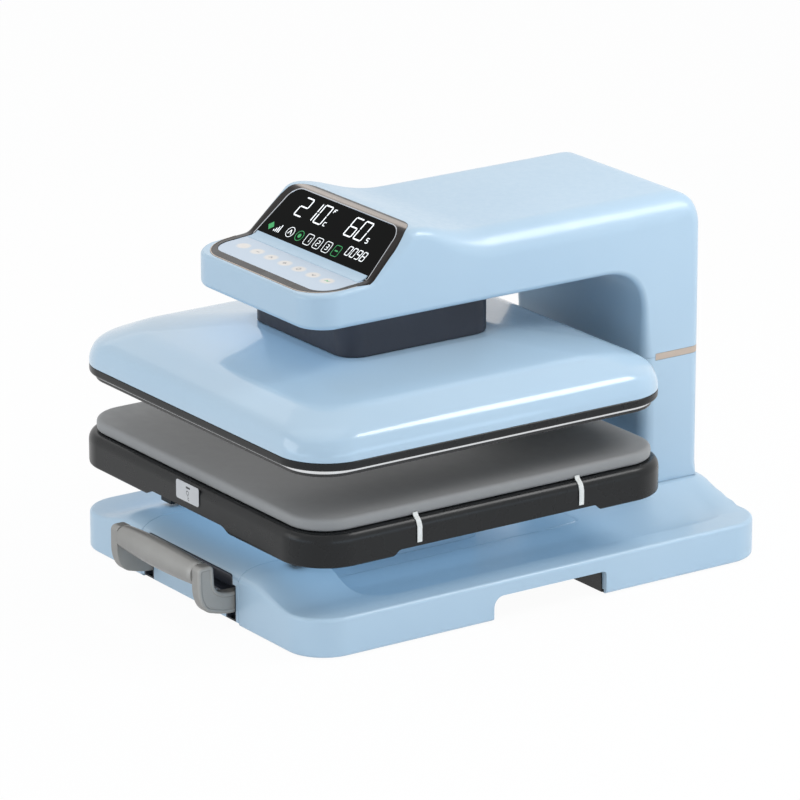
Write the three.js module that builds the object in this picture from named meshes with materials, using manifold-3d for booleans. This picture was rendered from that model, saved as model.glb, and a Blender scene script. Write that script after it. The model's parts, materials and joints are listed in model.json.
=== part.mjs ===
// Automatic heat press: a C-shaped arm over a base, a motor-driven hot plate, and a lower
// platen that pulls out on a drawer. Millimetres, +Z up, the user stands at -Y.

import * as THREE from 'three';
import { mergeVertices, mergeGeometries } from 'three/addons/utils/BufferGeometryUtils.js';
import Module from 'manifold-3d';

const wasm = await Module();
wasm.setup();

// Clearances
const fit = 0.3;
const runningFit = 0.4;

// Platens
const platenSide = 381;
const platenCorner = 38;
const platenY = -54;
const padThickness = 12;
const padEdge = 5;
const padTop = 126.5;
const pressGap = 37.5;

// Base
const baseWidth = 392;
const baseRearMargin = 7;
const baseCorner = 38;
const baseWall = 3;
const baseBottom = 1.5;
const bottomEdge = 3;
const rimTop = 37.5;
const rimEdge = 3.5;
const rimWidth = 25.5;
const dishFloor = 26;
const dishFront = -176.5;
const dishRear = 232;
const dishCorner = 36;
const dishSlope = 16;
const humpTop = 55;
const humpFaceTop = 42;
const humpEdgeRun = 28;
const humpHalfWidth = 100;
const humpFlank = 60;
const panThickness = 1.7;
const panInset = 4;
const passage = 5;
const footRadius = 11;
const footInsetX = 42;
const footInsetY = 46;

// Lift notches
const notchFront = -57;
const notchRear = 66;
const notchTop = 23.5;
const notchDepth = 30;
const notchFrontRound = 10;
const notchRearRound = 4;
const notchLip = 6;
const linerWall = 1.5;

// Drawer
const seamX = 80;
const drawerRear = 120;
const drawerBottom = 4.5;
const drawerFrontThickness = 18;
const chassisInset = 14;
const chassisFloor = 8;
const chassisWall = 2;
const railBottom = 8.5;
const railTop = 21.5;
const railWall = 1.2;
const railSlack = 0.8;
const pedestalWidth = 120;
const pedestalDepth = 160;
const pedestalWall = 3;
const pedestalCorner = 15;

// Tray under the pad
const trayMargin = 7.5;
const trayCorner = 46;
const padSeat = 0.5;
const trayDepth = 30.5;
const archHeight = 11;
const trayShoulder = 3.5;
const trayWall = 3;
const trayTopThickness = 4;
const frontArchHalf = 54;
const frontArchStep = 19;
const sideArchHalf = 103;
const sideArchStep = 11;
const carrierHalfWidth = 110;
const carrierLeg = 17;
const carrierPlate = 3;
const carrierWall = 2.5;
const carrierDrop = 25.5;
const carrierFront = -156;
const carrierRear = 154;
const carrierToe = 30;
const labelWidth = 37;
const labelHeight = 17.5;
const labelX = 3;
const labelThickness = 0.8;
const strapWidth = 5;
const strapThickness = 1;
const strapDrop = 8.5;
const strapLength = 25.6;
const strapPlaces = [-85, 89];

// Pull handle
const handleInset = 6.5;
const handleLegWidth = 11.5;
const pivotInset = 6;
const pivotHeight = 22;
const rootRadius = 10;
const pinRadius = 3;
const gripOut = 29;
const gripHeight = 51;
const gripEndRadius = 10.5;
const gripMidRadius = 12.6;
const legThickness = 18;
const legTop = 60.5;
const pocketInset = 2.5;
const pocketBottom = 34;
const pocketTop = 46.5;
const pocketDepth = 14;

// Hot head
const coverMargin = 7;
const coverCorner = 48;
const coverWall = 2.5;
const seamRise = 4;
const bandHeight = 7.4;
const plateThickness = 10.5;
const coverRise = 46.5;
const shoulderDrop = 18;
const creaseInset = 34;
const creaseDrop = 11.4;
const collarWidth = 160;
const collarCorner = 22;
const collarWall = 3;
const collarOverlap = 31.5;
const collarGap = 1;
const sleeveWall = 1.5;
const sleeveLift = 7.5;
const insulationThickness = 8;
const elementRadius = 3;
const elementInset = 30;
const elementPitch = 42;
const elementBend = 30;
const yokeGap = 12;
const yokePlate = 6;
const pillarRadius = 8;
const pillarInset = 18;

// Drive
const screwRadius = 7;
const journalRadius = 6;
const screwReach = 28;
const nutRadius = 14;
const nutHeight = 26;
const nutFlange = 5;
const bearingRadius = 20;
const bearingHeight = 16;
const rodRadius = 7;
const rodInset = 23;
const rodRise = 6;
const bushRadius = 12;
const bushHeight = 28;
const motorRadius = 25;
const motorSides = 18;
const motorLength = 33;
const motorSetback = 36;
const gearboxGap = 5;
const gearboxHeight = 15;

// Steel frame
const framePlate = 6;
const frameMargin = 18;
const cheekThickness = 5;
const headPlateRise = 34;
const headPlateFront = -95;
const cheekDrop = 8;
const floorPlate = 3;
const backPlateInset = 9;
const backCornerCut = 16;
const socketRoom = 15;
const socketWindowHalfWidth = 41;

// Arm, head and column
const armMargin = 21;
const shellWall = 3;
const headReach = 129.6;
const headCorner = 30;
const headGap = 37.5;
const armDepth = 62.5;
const armEdge = 25;
const throatGap = 33;
const columnDepth = 66;
const columnEdge = 13;
const throatRadius = 45;
const backRadius = 30;
const stripeDrop = 89;
const stripeHeight = 6;
const stripeDepth = 1.6;
const undersideLip = 9;
const undersideRecess = 1.2;
const undersidePlate = 2.5;

// Control panel
const panelInset = 5.6;
const panelRise = 31.5;
const stripLength = 57;
const stripRise = 5;
const displayLength = 42;
const displayRise = 39.5;
const crestRise = 1.5;
const bezelThickness = 3.5;
const stripMargin = 10;
const stripBackMargin = 1;
const stripCorner = 20;
const stripSideMargin = 11;
const glassThickness = 2;
const glassTaper = 3;
const glassCorner = 13;
const glassMargin = 1.5;
const boardThickness = 4.5;
const boardMargin = 25;

// Rear panel
const rearPanelHalfWidth = 58;
const rearPanelBottom = 72;
const rearPanelTop = 162;
const rearPanelThickness = 2.5;
const ventCount = 9;
const ventPitch = 9;
const ventWidth = 4;
const ventHeight = 28;
const inletWidth = 27;
const inletHeight = 19.5;
const inletFlange = 3.5;
const inletDepth = 18;
const switchWidth = 19;
const switchHeight = 13;
const switchX = 30;
const inletX = -20;
const socketHeight = 92;
const powerBoardBottom = 115;
const powerBoardHeight = 85;
const powerBoardMargin = 15;
const rockerTilt = THREE.MathUtils.degToRad(8);

// Widths and depths worked out from the ones above
const trayWidth = platenSide + 2 * trayMargin;
const coverWidth = platenSide + 2 * coverMargin;
const columnFront = platenY + trayWidth / 2 + throatGap;
const columnRear = columnFront + columnDepth;
const baseDepth = 2 * (columnRear + baseRearMargin);
const headFront = platenY - headReach;
const panelFront = headFront + panelInset;
const panelKink = panelFront + stripLength;
const panelTop = panelKink + displayLength;
const stripFront = panelFront + stripMargin;
const stripBack = panelKink - stripBackMargin;
const armHalfWidth = collarWidth / 2 + armMargin;
const stripHalfWidth = armHalfWidth - stripSideMargin;
const glassTopHalfWidth = stripHalfWidth - glassTaper;
const sleeveSide = collarWidth - 2 * collarWall - 2 * runningFit;
const yokeSide = collarWidth - 2 * yokeGap;
const pillarSpread = yokeSide / 2 - pillarInset;
const rodSpread = yokeSide / 2 - rodInset;
const frameHalfWidth = rodSpread + frameMargin;
const channelHalfWidth = seamX + fit / 2;
const drawerHalfWidth = seamX - fit / 2;
const chassisHalfWidth = seamX - chassisInset;
const handleHalfWidth = seamX - handleInset;
const pocketHalfWidth = handleHalfWidth - pocketInset;
const motorY = platenY + collarWidth / 2 + motorSetback;
const gearboxHalfWidth = rodSpread - bushRadius - gearboxGap;

// Heights worked out from the ones above
const padBottom = padTop - padThickness;
const trayTop = padBottom - padSeat;
const trayBottom = trayTop - trayDepth;
const trayRaised = trayBottom + archHeight;
const carrierBottom = trayBottom - carrierDrop;
const strapTop = padTop - strapDrop;
const strapEnd = strapTop - strapLength;
const plateBottom = padTop + pressGap;
const plateTop = plateBottom + plateThickness;
const seamHeight = plateTop + seamRise;
const plateauHeight = seamHeight + coverRise;
const shoulderHeight = plateauHeight - shoulderDrop;
const creaseHeight = plateauHeight - creaseDrop;
const insulationBottom = plateTop + fit + 2 * elementRadius + fit;
const yokeBottom = plateauHeight + fit;
const yokeTop = yokeBottom + yokePlate;
const screwBottom = plateauHeight - screwReach;
const sleeveBottom = plateauHeight + sleeveLift;
const armBottom = plateauHeight + headGap;
const armTop = armBottom + armDepth;
const collarTop = armBottom + collarOverlap;
const headPlateBottom = armBottom + headPlateRise;
const headPlateTop = headPlateBottom + framePlate;
const cheekTop = armTop - cheekDrop;
const rodTop = armTop + rodRise;
const panelFrontHeight = armBottom + panelRise;
const panelKinkHeight = panelFrontHeight + stripRise;
const panelTopHeight = panelKinkHeight + displayRise;
const crestHeight = panelTopHeight + crestRise;
const stripeBottom = armBottom - stripeDrop;
const stripeTop = stripeBottom + stripeHeight;
const panTop = baseBottom + panThickness;
const drawerFront = -baseDepth / 2;

// Half-spaces for cuts reach this far, past every outside face
const beyond = baseDepth;
const pivotY = drawerFront + pivotInset;
const gripY = drawerFront - gripOut;

// Finishes
const blue = { color: '#b3cce4', roughness: 0.35, metalness: 0 };
const charcoal = { color: '#3d3e40', roughness: 0.5, metalness: 0 };
const nearBlack = { color: '#232426', roughness: 0.55, metalness: 0 };
const champagne = { color: '#cdbba9', roughness: 0.3, metalness: 0.8 };
const gunmetal = { color: '#55555a', roughness: 0.35, metalness: 0.7 };
const slate = { color: '#4b5059', roughness: 0.45, metalness: 0 };
const padRubber = { color: '#6b6b6b', roughness: 0.85, metalness: 0 };
const handleGrey = { color: '#999896', roughness: 0.4, metalness: 0.2 };
const whiteElastic = { color: '#e8e8e6', roughness: 0.8, metalness: 0 };
const bareAluminium = { color: '#c9cbce', roughness: 0.35, metalness: 0.9 };
const steel = { color: '#9a9da1', roughness: 0.4, metalness: 0.9 };
const paintedSteel = { color: '#2f3134', roughness: 0.55, metalness: 0.4 };
const bronze = { color: '#a9814f', roughness: 0.4, metalness: 0.8 };
const boardGreen = { color: '#1f5a3a', roughness: 0.6, metalness: 0 };
const darkGlass = { color: '#0c0e0d', roughness: 0.08, metalness: 0 };
const paleLabel = { color: '#c9c9c4', roughness: 0.6, metalness: 0 };
const insulationCream = { color: '#d8d2bf', roughness: 0.9, metalness: 0 };

// Solids and meshes

function toSolid(geometry) {
  geometry.deleteAttribute('normal');
  geometry.deleteAttribute('uv');
  const merged = mergeVertices(geometry, 1e-4);
  return new wasm.Manifold(new wasm.Mesh({
    numProp: 3,
    vertProperties: new Float32Array(merged.attributes.position.array),
    triVerts: new Uint32Array(merged.index.array),
  }));
}

function toGeometry(solid) {
  const mesh = solid.getMesh();
  const geometry = new THREE.BufferGeometry();
  geometry.setAttribute('position', new THREE.BufferAttribute(mesh.vertProperties, 3));
  geometry.setIndex(new THREE.BufferAttribute(mesh.triVerts, 1));
  return geometry;
}

function part(name, solid, finish) {
  const flat = toGeometry(solid).toNonIndexed();
  flat.computeVertexNormals();
  const mesh = new THREE.Mesh(flat, new THREE.MeshStandardMaterial(finish));
  mesh.name = name;
  return mesh;
}

// Joins solids of one piece, or cuts all the rest from the first
const join = (...solids) => solids.reduce((whole, solid) => whole.add(solid));
const cut = (body, ...tools) => tools.reduce((rest, tool) => rest.subtract(tool), body);

function box(x0, x1, y0, y1, z0, z1) {
  const geometry = new THREE.BoxGeometry(x1 - x0, y1 - y0, z1 - z0);
  geometry.translate((x0 + x1) / 2, (y0 + y1) / 2, (z0 + z1) / 2);
  return toSolid(geometry);
}

function prism(shape, z0, z1, curveSegments = 3) {
  const geometry = new THREE.ExtrudeGeometry(shape, { depth: z1 - z0, bevelEnabled: false, curveSegments });
  geometry.translate(0, 0, z0);
  return toSolid(geometry);
}

// An outline drawn in Y and Z, extruded along X
function prismAlongX(shape, x0, x1, curveSegments = 4, bevel = 0) {
  const settings = { depth: x1 - x0 - 2 * bevel, curveSegments, bevelEnabled: bevel > 0 };
  const rounding = { bevelSize: bevel, bevelOffset: -bevel, bevelThickness: bevel, bevelSegments: 1 };
  const geometry = new THREE.ExtrudeGeometry(shape, { ...settings, ...rounding });
  const axes = [new THREE.Vector3(0, 1, 0), new THREE.Vector3(0, 0, 1), new THREE.Vector3(1, 0, 0)];
  geometry.applyMatrix4(new THREE.Matrix4().makeBasis(...axes));
  geometry.translate(x0 + bevel, 0, 0);
  return toSolid(geometry);
}

// An outline drawn in X and Z, extruded along Y
function prismAlongY(shape, y0, y1, curveSegments = 3) {
  const settings = { depth: y1 - y0, bevelEnabled: false, curveSegments };
  const geometry = new THREE.ExtrudeGeometry(shape, settings);
  const axes = [new THREE.Vector3(1, 0, 0), new THREE.Vector3(0, 0, 1), new THREE.Vector3(0, -1, 0)];
  geometry.applyMatrix4(new THREE.Matrix4().makeBasis(...axes));
  geometry.translate(0, y1, 0);
  return toSolid(geometry);
}

function uprightRod(radius, x, y, z0, z1, sides = 12) {
  const geometry = new THREE.CylinderGeometry(radius, radius, z1 - z0, sides);
  geometry.rotateX(Math.PI / 2);
  geometry.translate(x, y, (z0 + z1) / 2);
  return toSolid(geometry);
}

function crossRod(radius, x0, x1, y, z, sides = 10) {
  const geometry = new THREE.CylinderGeometry(radius, radius, x1 - x0, sides);
  geometry.rotateZ(Math.PI / 2);
  geometry.translate((x0 + x1) / 2, y, z);
  return toSolid(geometry);
}

function polygon(points) {
  return new THREE.Shape(points.map(([a, b]) => new THREE.Vector2(a, b)));
}

// A rectangle with round corners, centred on a, b
function roundedShape(width, height, radius, a = 0, b = 0) {
  const right = a + width / 2 - radius;
  const left = a - width / 2 + radius;
  const top = b + height / 2 - radius;
  const bottom = b - height / 2 + radius;
  const shape = new THREE.Shape();
  shape.absarc(right, bottom, radius, -Math.PI / 2, 0);
  shape.absarc(right, top, radius, 0, Math.PI / 2);
  shape.absarc(left, top, radius, Math.PI / 2, Math.PI);
  shape.absarc(left, bottom, radius, Math.PI, 1.5 * Math.PI);
  shape.closePath();
  return shape;
}

// Skins a stack of rings with equal point counts and closes both ends
function loft(rings, flatten) {
  const count = rings[0].length;
  const positions = rings.flat().flatMap((point) => [point.x, point.y, point.z]);
  const index = [];
  for (let ring = 0; ring + 1 < rings.length; ring += 1) {
    for (let i = 0; i < count; i += 1) {
      const next = (i + 1) % count;
      const [a, b] = [ring * count + i, ring * count + next];
      index.push(a, b, b + count, a, b + count, a + count);
    }
  }
  const lastStart = (rings.length - 1) * count;
  const capFaces = (ring) => THREE.ShapeUtils.triangulateShape(ring.map(flatten), []);
  const facing = THREE.ShapeUtils.area(rings[0].map(flatten)) > 0 ? 1 : -1;
  const turn = ([a, b, c]) => (facing > 0 ? [a, b, c] : [a, c, b]);
  capFaces(rings[0]).forEach((face) => {
    const [a, b, c] = face;
    index.push(...turn([a, c, b]));
  });
  capFaces(rings.at(-1)).forEach((face) => {
    index.push(...turn(face).map((corner) => corner + lastStart));
  });
  const geometry = new THREE.BufferGeometry();
  geometry.setAttribute('position', new THREE.Float32BufferAttribute(positions, 3));
  geometry.setIndex(index);
  return outward(geometry);
}

// Turns a closed mesh so that its faces point out
function outward(geometry) {
  const position = geometry.attributes.position;
  const corner = [0, 1, 2].map(() => new THREE.Vector3());
  let volume = 0;
  for (let i = 0; i < geometry.index.count; i += 3) {
    corner.forEach((vector, k) => vector.fromBufferAttribute(position, geometry.index.getX(i + k)));
    volume += corner[0].dot(corner[1].clone().cross(corner[2]));
  }
  if (volume < 0) geometry.setIndex(Array.from(geometry.index.array).reverse());
  return toSolid(geometry);
}

const fromAbove = (point) => new THREE.Vector2(point.x, point.y);
const fromSide = (point) => new THREE.Vector2(point.y, point.z);

// One ring of a rounded rectangle seen from above, with its height from a number or a function
function rectRing(outline, inset, height, steps = [1, 1, 6]) {
  const [alongX, alongY, aroundCorner] = steps;
  const radius = Math.max(outline.radius - inset, 0.5);
  const halfX = outline.width / 2 - inset - radius;
  const halfY = outline.depth / 2 - inset - radius;
  const corners = [[halfX, -halfY], [halfX, halfY], [-halfX, halfY], [-halfX, -halfY]];
  const ring = [];
  corners.forEach(([x, y], side) => {
    const start = (side - 1) * Math.PI / 2;
    for (let i = 0; i <= aroundCorner; i += 1) {
      const angle = start + i / aroundCorner * Math.PI / 2;
      ring.push([x + radius * Math.cos(angle), y + radius * Math.sin(angle)]);
    }
    const [nextX, nextY] = corners[(side + 1) % 4];
    const steppedAlong = side % 2 === 0 ? alongY : alongX;
    const end = start + Math.PI / 2;
    for (let i = 1; i < steppedAlong; i += 1) {
      const share = i / steppedAlong;
      const px = x + (nextX - x) * share + radius * Math.cos(end);
      const py = y + (nextY - y) * share + radius * Math.sin(end);
      ring.push([px, py]);
    }
  });
  return ring.map(([x, y]) => {
    const point = new THREE.Vector3(x, y + (outline.y ?? 0), 0);
    point.z = typeof height === 'function' ? height(point.x, point.y) : height;
    return point;
  });
}

// A rounded rectangle built up from pairs of inset and height
function stack(outline, levels, steps) {
  return loft(levels.map(([inset, height]) => rectRing(outline, inset, height, steps)), fromAbove);
}

// How far a point lies inside a rounded rectangle
function insetInside(outline, x, y) {
  const cornerX = Math.abs(x) - (outline.width / 2 - outline.radius);
  const cornerY = Math.abs(y - (outline.y ?? 0)) - (outline.depth / 2 - outline.radius);
  const outside = Math.hypot(Math.max(cornerX, 0), Math.max(cornerY, 0));
  return outline.radius - outside - Math.min(Math.max(cornerX, cornerY), 0);
}

const clamp01 = (value) => Math.min(Math.max(value, 0), 1);
const smooth = (value) => clamp01(value) ** 2 * (3 - 2 * clamp01(value));

// Base

const baseOutline = { width: baseWidth, depth: baseDepth, radius: baseCorner };
const dishOutline = {
  width: baseWidth - 2 * rimWidth,
  depth: dishRear - dishFront,
  radius: dishCorner,
  y: (dishRear + dishFront) / 2,
};
const columnOutline = {
  width: 2 * armHalfWidth,
  depth: columnRear - columnFront,
  radius: columnEdge,
  y: (columnRear + columnFront) / 2,
};

// Drop of a rounded edge, run wide and rise high, at a distance in from the edge
function edgeDrop(distance, run, rise) {
  const share = clamp01((run - distance) / run);
  return rise * (1 - Math.sqrt(1 - share ** 2));
}

// Top of the moulding before the column's foot: rim, front hump and dish
function plainTop(x, y) {
  const inset = insetInside(baseOutline, x, y);
  const rim = rimTop - edgeDrop(inset, rimEdge, rimEdge);
  const hump = humpTop - edgeDrop(inset, humpEdgeRun, humpTop - humpFaceTop);
  const share = y < 0 ? 1 - smooth((Math.abs(x) - humpHalfWidth) / humpFlank) : 0;
  const top = rim + (hump - rim) * share;
  const intoDish = clamp01(insetInside(dishOutline, x, y) / dishSlope);
  return top - (top - dishFloor) * Math.sin(intoDish * Math.PI / 2);
}

function blendRings(from, to, share) {
  return from.map((point, i) => {
    const blended = point.clone().lerp(to[i], share);
    blended.z = plainTop(blended.x, blended.y);
    return blended;
  });
}

// The base's outer form, or its hollow when a wall is given
function baseForm(wall) {
  const steps = wall > 0 ? [10, 1, 3] : [14, 2, 4];
  const lowered = (x, y) => plainTop(x, y) - wall;
  const lower = wall > 0
    ? [rectRing(baseOutline, wall, -bottomEdge, steps)]
    : [
      rectRing(baseOutline, bottomEdge, baseBottom, steps),
      rectRing(baseOutline, bottomEdge * 0.3, baseBottom + bottomEdge * 0.3, steps),
      rectRing(baseOutline, 0, baseBottom + bottomEdge, steps),
    ];
  const edgeInsets = wall > 0 ? [0, rimEdge] : [0, rimEdge * 0.3, rimEdge];
  const edge = edgeInsets.map((inset) => rectRing(baseOutline, wall + inset, lowered, steps));
  const rimInside = rectRing(baseOutline, wall + rimEdge, lowered, steps);
  const dishEdge = rectRing(dishOutline, -wall, lowered, steps);
  const across = [0.12, 0.35, 0.65, 1].map((share) => blendRings(rimInside, dishEdge, share));
  across.flat().forEach((point) => { point.z -= wall; });
  const dishShares = [0.12, 0.3, 0.6, 1];
  const dish = dishShares.map((share) => rectRing(dishOutline, dishSlope * share - wall, lowered, steps));
  return loft([...lower, ...edge, ...across, ...dish], fromAbove);
}

// The foot that flares up to the column
function columnFoot() {
  const reach = 68;
  const distances = [reach, 42, 20, 6, 0];
  const height = (distance) => (x, y) => {
    const ground = plainTop(x, y);
    return ground + (humpTop - ground) * (1 - distance / reach) ** 2 - (distance === reach ? fit : 0);
  };
  const rings = distances.map((distance) => rectRing(columnOutline, -distance, height(distance), [4, 2, 3]));
  const under = rectRing(columnOutline, -reach, dishFloor / 2, [4, 2, 3]);
  const bounds = prism(roundedShape(baseWidth, baseDepth, baseCorner), 0, humpTop + 1, 8);
  return loft([under, ...rings], fromAbove).intersect(bounds);
}

function notchShape(grow) {
  const front = notchFront - grow;
  const rear = notchRear + grow;
  const top = notchTop + grow;
  const frontRound = notchFrontRound + grow;
  const rearRound = notchRearRound + grow;
  const shape = new THREE.Shape();
  shape.moveTo(front, -bottomEdge);
  shape.lineTo(rear, -bottomEdge);
  shape.lineTo(rear, top - rearRound);
  shape.absarc(rear - rearRound, top - rearRound, rearRound, 0, Math.PI / 2);
  shape.absarc(front + frontRound, top - frontRound, frontRound, Math.PI / 2, Math.PI);
  return shape;
}

// A notch on one side of the base; side is 1 on the right and -1 on the left
function notch(side, grow, fromEdge, depth) {
  const outer = side * (baseWidth / 2 - fromEdge);
  const inner = side * (baseWidth / 2 - depth);
  return prismAlongX(notchShape(grow), Math.min(outer, inner), Math.max(outer, inner), 3);
}

const baseBlock = join(baseForm(0), columnFoot());

function baseShell() {
  const channelWall = channelHalfWidth + baseWall;
  const channelEnd = drawerRear + fit;
  const below = -bottomEdge;
  const above = humpTop + 2;
  const aroundChannel = box(-channelWall, channelWall, drawerFront, channelEnd + baseWall, below, above);
  const aroundNotches = [1, -1].map((side) => notch(side, baseWall, -1, notchDepth + baseWall));
  const hollow = cut(baseForm(baseWall), aroundChannel, ...aroundNotches);
  const panSeat = prism(
    roundedShape(baseWidth - 2 * panInset, baseDepth - 2 * panInset, baseCorner - panInset),
    below,
    drawerBottom + fit,
  );
  const channel = box(-channelHalfWidth, channelHalfWidth, drawerFront - 1, channelEnd, drawerBottom - fit, above);
  const columnHole = box(
    -frameHalfWidth - passage,
    frameHalfWidth + passage,
    columnFront + columnEdge,
    backPlateRear + baseWall,
    below,
    above,
  );
  const notches = [1, -1].map((side) => notch(side, 0, -1, notchDepth));
  return cut(baseBlock, hollow, panSeat, channel, floorSheet(fit), columnHole, ...notches);
}

function basePan() {
  const inset = panInset + fit;
  const outline = roundedShape(baseWidth - 2 * inset, baseDepth - 2 * inset, baseCorner - inset);
  const notches = [1, -1].map((side) => notch(side, fit, -1, notchDepth + fit));
  return cut(prism(outline, baseBottom, panTop), ...notches);
}

function liftLiner(side) {
  const outer = notch(side, -fit, notchLip, notchDepth - fit);
  const inner = notch(side, -fit - linerWall, notchLip - 1, notchDepth - fit - linerWall);
  const belowPan = box(-baseWidth, baseWidth, -baseDepth, baseDepth, -10, baseBottom);
  return cut(outer, inner, belowPan);
}

// Steel frame

const backPlateRear = columnRear - backPlateInset;
const backPlateFront = backPlateRear - framePlate;
const floorBottom = panTop + fit;

function floorSheet(grow) {
  const half = drawerHalfWidth - 2 + grow;
  const front = drawerFront + drawerFrontThickness + 4 - grow;
  const top = floorBottom + floorPlate + grow;
  return box(-half, half, front, backPlateRear + grow, floorBottom - grow, top);
}

function steelFrame() {
  const cheekFrontZ = headPlateTop + 5;
  const throat = armBottom + undersidePlate + 4;
  const outline = polygon([
    [columnFront + 19, floorBottom],
    [backPlateRear, floorBottom],
    [backPlateRear, cheekTop - backCornerCut],
    [backPlateRear - backCornerCut, cheekTop],
    [headPlateFront + 25, cheekTop],
    [headPlateFront, cheekFrontZ],
    [headPlateFront, headPlateBottom],
    [platenY + collarWidth / 2 + 6, headPlateBottom],
    [platenY + collarWidth / 2 + 12, throat + 12],
    [columnFront - 20, throat],
    [columnFront + 19, throat - 50],
  ]);
  const cheeks = [-frameHalfWidth, frameHalfWidth - cheekThickness].map(
    (x) => prismAlongX(outline, x, x + cheekThickness),
  );
  const narrowPlate = box(-frameHalfWidth, frameHalfWidth, headPlateFront, motorY + 40, headPlateBottom, headPlateTop);
  const wide = sleeveSide / 2;
  const widePlate = box(-wide, wide, headPlateFront, platenY + wide + 3, headPlateBottom, headPlateTop);
  const headPlate = join(narrowPlate, widePlate);
  const backPlate = box(
    -frameHalfWidth,
    frameHalfWidth,
    backPlateFront,
    backPlateRear,
    floorBottom,
    cheekTop - backCornerCut,
  );
  const window = box(
    -socketWindowHalfWidth,
    socketWindowHalfWidth,
    backPlateFront - 1,
    backPlateRear + 1,
    socketHeight - socketRoom,
    socketHeight + socketRoom,
  );
  const journalHole = uprightRod(journalRadius + fit, 0, platenY, headPlateBottom - 1, headPlateTop + 1);
  const motorHole = uprightRod(motorRadius + fit, 0, motorY, headPlateBottom - 1, headPlateTop + 1, motorSides);
  const bushHoles = [-rodSpread, rodSpread].map(
    (x) => uprightRod(bushRadius + fit, x, platenY, headPlateBottom - 1, headPlateTop + 1),
  );
  const weldment = join(...cheeks, headPlate, backPlate, floorSheet(0));
  return cut(weldment, window, journalHole, motorHole, ...bushHoles);
}

// Arm, head and column

// The side outline of arm and column, as points with the radius of the long edges there
function armOutline() {
  const at = (y, z) => new THREE.Vector2(y, z);
  const line = (from, to) => new THREE.LineCurve(from, to);
  const bend = (from, corner, to) => new THREE.QuadraticBezierCurve(from, corner, to);
  const tilt = Math.atan2(panelTopHeight - panelKinkHeight, panelTop - panelKink);
  const glassStart = at(panelKink + 4 * Math.cos(tilt), panelKinkHeight + 4 * Math.sin(tilt));
  const glassEnd = at(panelTop - 4 * Math.cos(tilt), panelTopHeight - 4 * Math.sin(tilt));
  const crestCorner = at(panelTop + 3, panelTopHeight + 3 * Math.tan(tilt));
  const crestStart = at(-60, crestHeight - 2);
  const slopeEnd = at(10, armTop - 0.5);
  const backStart = at(columnRear - backRadius, armTop);
  const edgeTurn = armBottom - 2.4 * throatRadius;
  const runs = [
    [line(at(headFront, armBottom + 5), at(headFront, panelFrontHeight - 6)), 1, 2, 4],
    [bend(at(headFront, panelFrontHeight - 6), at(headFront, panelFrontHeight), at(panelFront, panelFrontHeight)), 3, 4, 5],
    [line(at(panelFront, panelFrontHeight), at(panelKink - 5, panelKinkHeight - 0.4)), 1, 5, 5],
    [bend(at(panelKink - 5, panelKinkHeight - 0.4), at(panelKink, panelKinkHeight), glassStart), 3, 5, 5],
    [line(glassStart, glassEnd), 1, 5, 8],
    [bend(glassEnd, crestCorner, crestStart), 4, 8, 10],
    [new THREE.CubicBezierCurve(crestStart, at(-42, crestHeight - 4), at(-25, armTop - 0.5), slopeEnd), 5, 10, armEdge],
    [line(slopeEnd, backStart), 1, armEdge, armEdge],
    [bend(backStart, at(columnRear, armTop), at(columnRear, armTop - backRadius)), 5, armEdge, columnEdge],
    [line(at(columnRear, armTop - backRadius), at(columnRear, humpTop - 8)), 1, columnEdge, columnEdge],
    [line(at(columnRear, humpTop - 8), at(columnFront, humpTop - 8)), 1, columnEdge, columnEdge],
    [line(at(columnFront, humpTop - 8), at(columnFront, edgeTurn)), 1, columnEdge, columnEdge],
    [line(at(columnFront, edgeTurn), at(columnFront, armBottom - throatRadius)), 1, columnEdge, 3],
    [bend(
      at(columnFront, armBottom - throatRadius),
      at(columnFront, armBottom),
      at(columnFront - throatRadius, armBottom),
    ), 5, 3, 3],
    [line(at(columnFront - throatRadius, armBottom), at(headFront + 5, armBottom)), 1, 3, 2],
    [bend(at(headFront + 5, armBottom), at(headFront, armBottom), at(headFront, armBottom + 5)), 2, 2, 2],
  ];
  return runs.flatMap(([curve, count, firstEdge, lastEdge]) => {
    const samples = Array.from({ length: count }, (_, i) => i / count);
    return samples.map((share) => {
      const point = curve.getPoint(share);
      return { y: point.x, z: point.y, edge: firstEdge + (lastEdge - firstEdge) * share };
    });
  });
}

// The outward direction of an outline at one of its points, the outline running clockwise
function outwardAt(outline, i) {
  const before = outline.at(i - 1);
  const after = outline[(i + 1) % outline.length];
  return new THREE.Vector2(before.z - after.z, after.y - before.y).normalize();
}

// The closed form of arm, head and column, drawn in by a wall thickness
function armForm(wall) {
  const outline = armOutline();
  const half = armHalfWidth - wall;
  const turns = wall > 0 ? [0, 0.5, 1] : [0, 0.25, 0.5, 0.75, 1];
  const fromEdge = turns.map((turn) => armEdge * (1 - Math.sin(turn * Math.PI / 2)));
  const ringAt = (x, distance) => outline.map((point, i) => {
    const reach = Math.max(point.edge - wall, 0.5);
    const drop = wall + edgeDrop(distance, reach, reach);
    const direction = outwardAt(outline, i);
    return new THREE.Vector3(x, point.y - direction.x * drop, point.z - direction.y * drop);
  });
  const right = fromEdge.map((distance) => ringAt(half - distance, distance));
  const left = fromEdge.toReversed().map((distance) => ringAt(distance - half, distance));
  const corner = headCorner - wall;
  const front = headFront + wall;
  const plan = roundedShape(2 * half, baseDepth * 2, corner, 0, front + baseDepth);
  return loft([...left, ...right], fromSide).intersect(prism(plan, 0, crestHeight + 10, 8));
}

const armBody = armForm(0);
const armHollow = armForm(shellWall);

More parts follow.
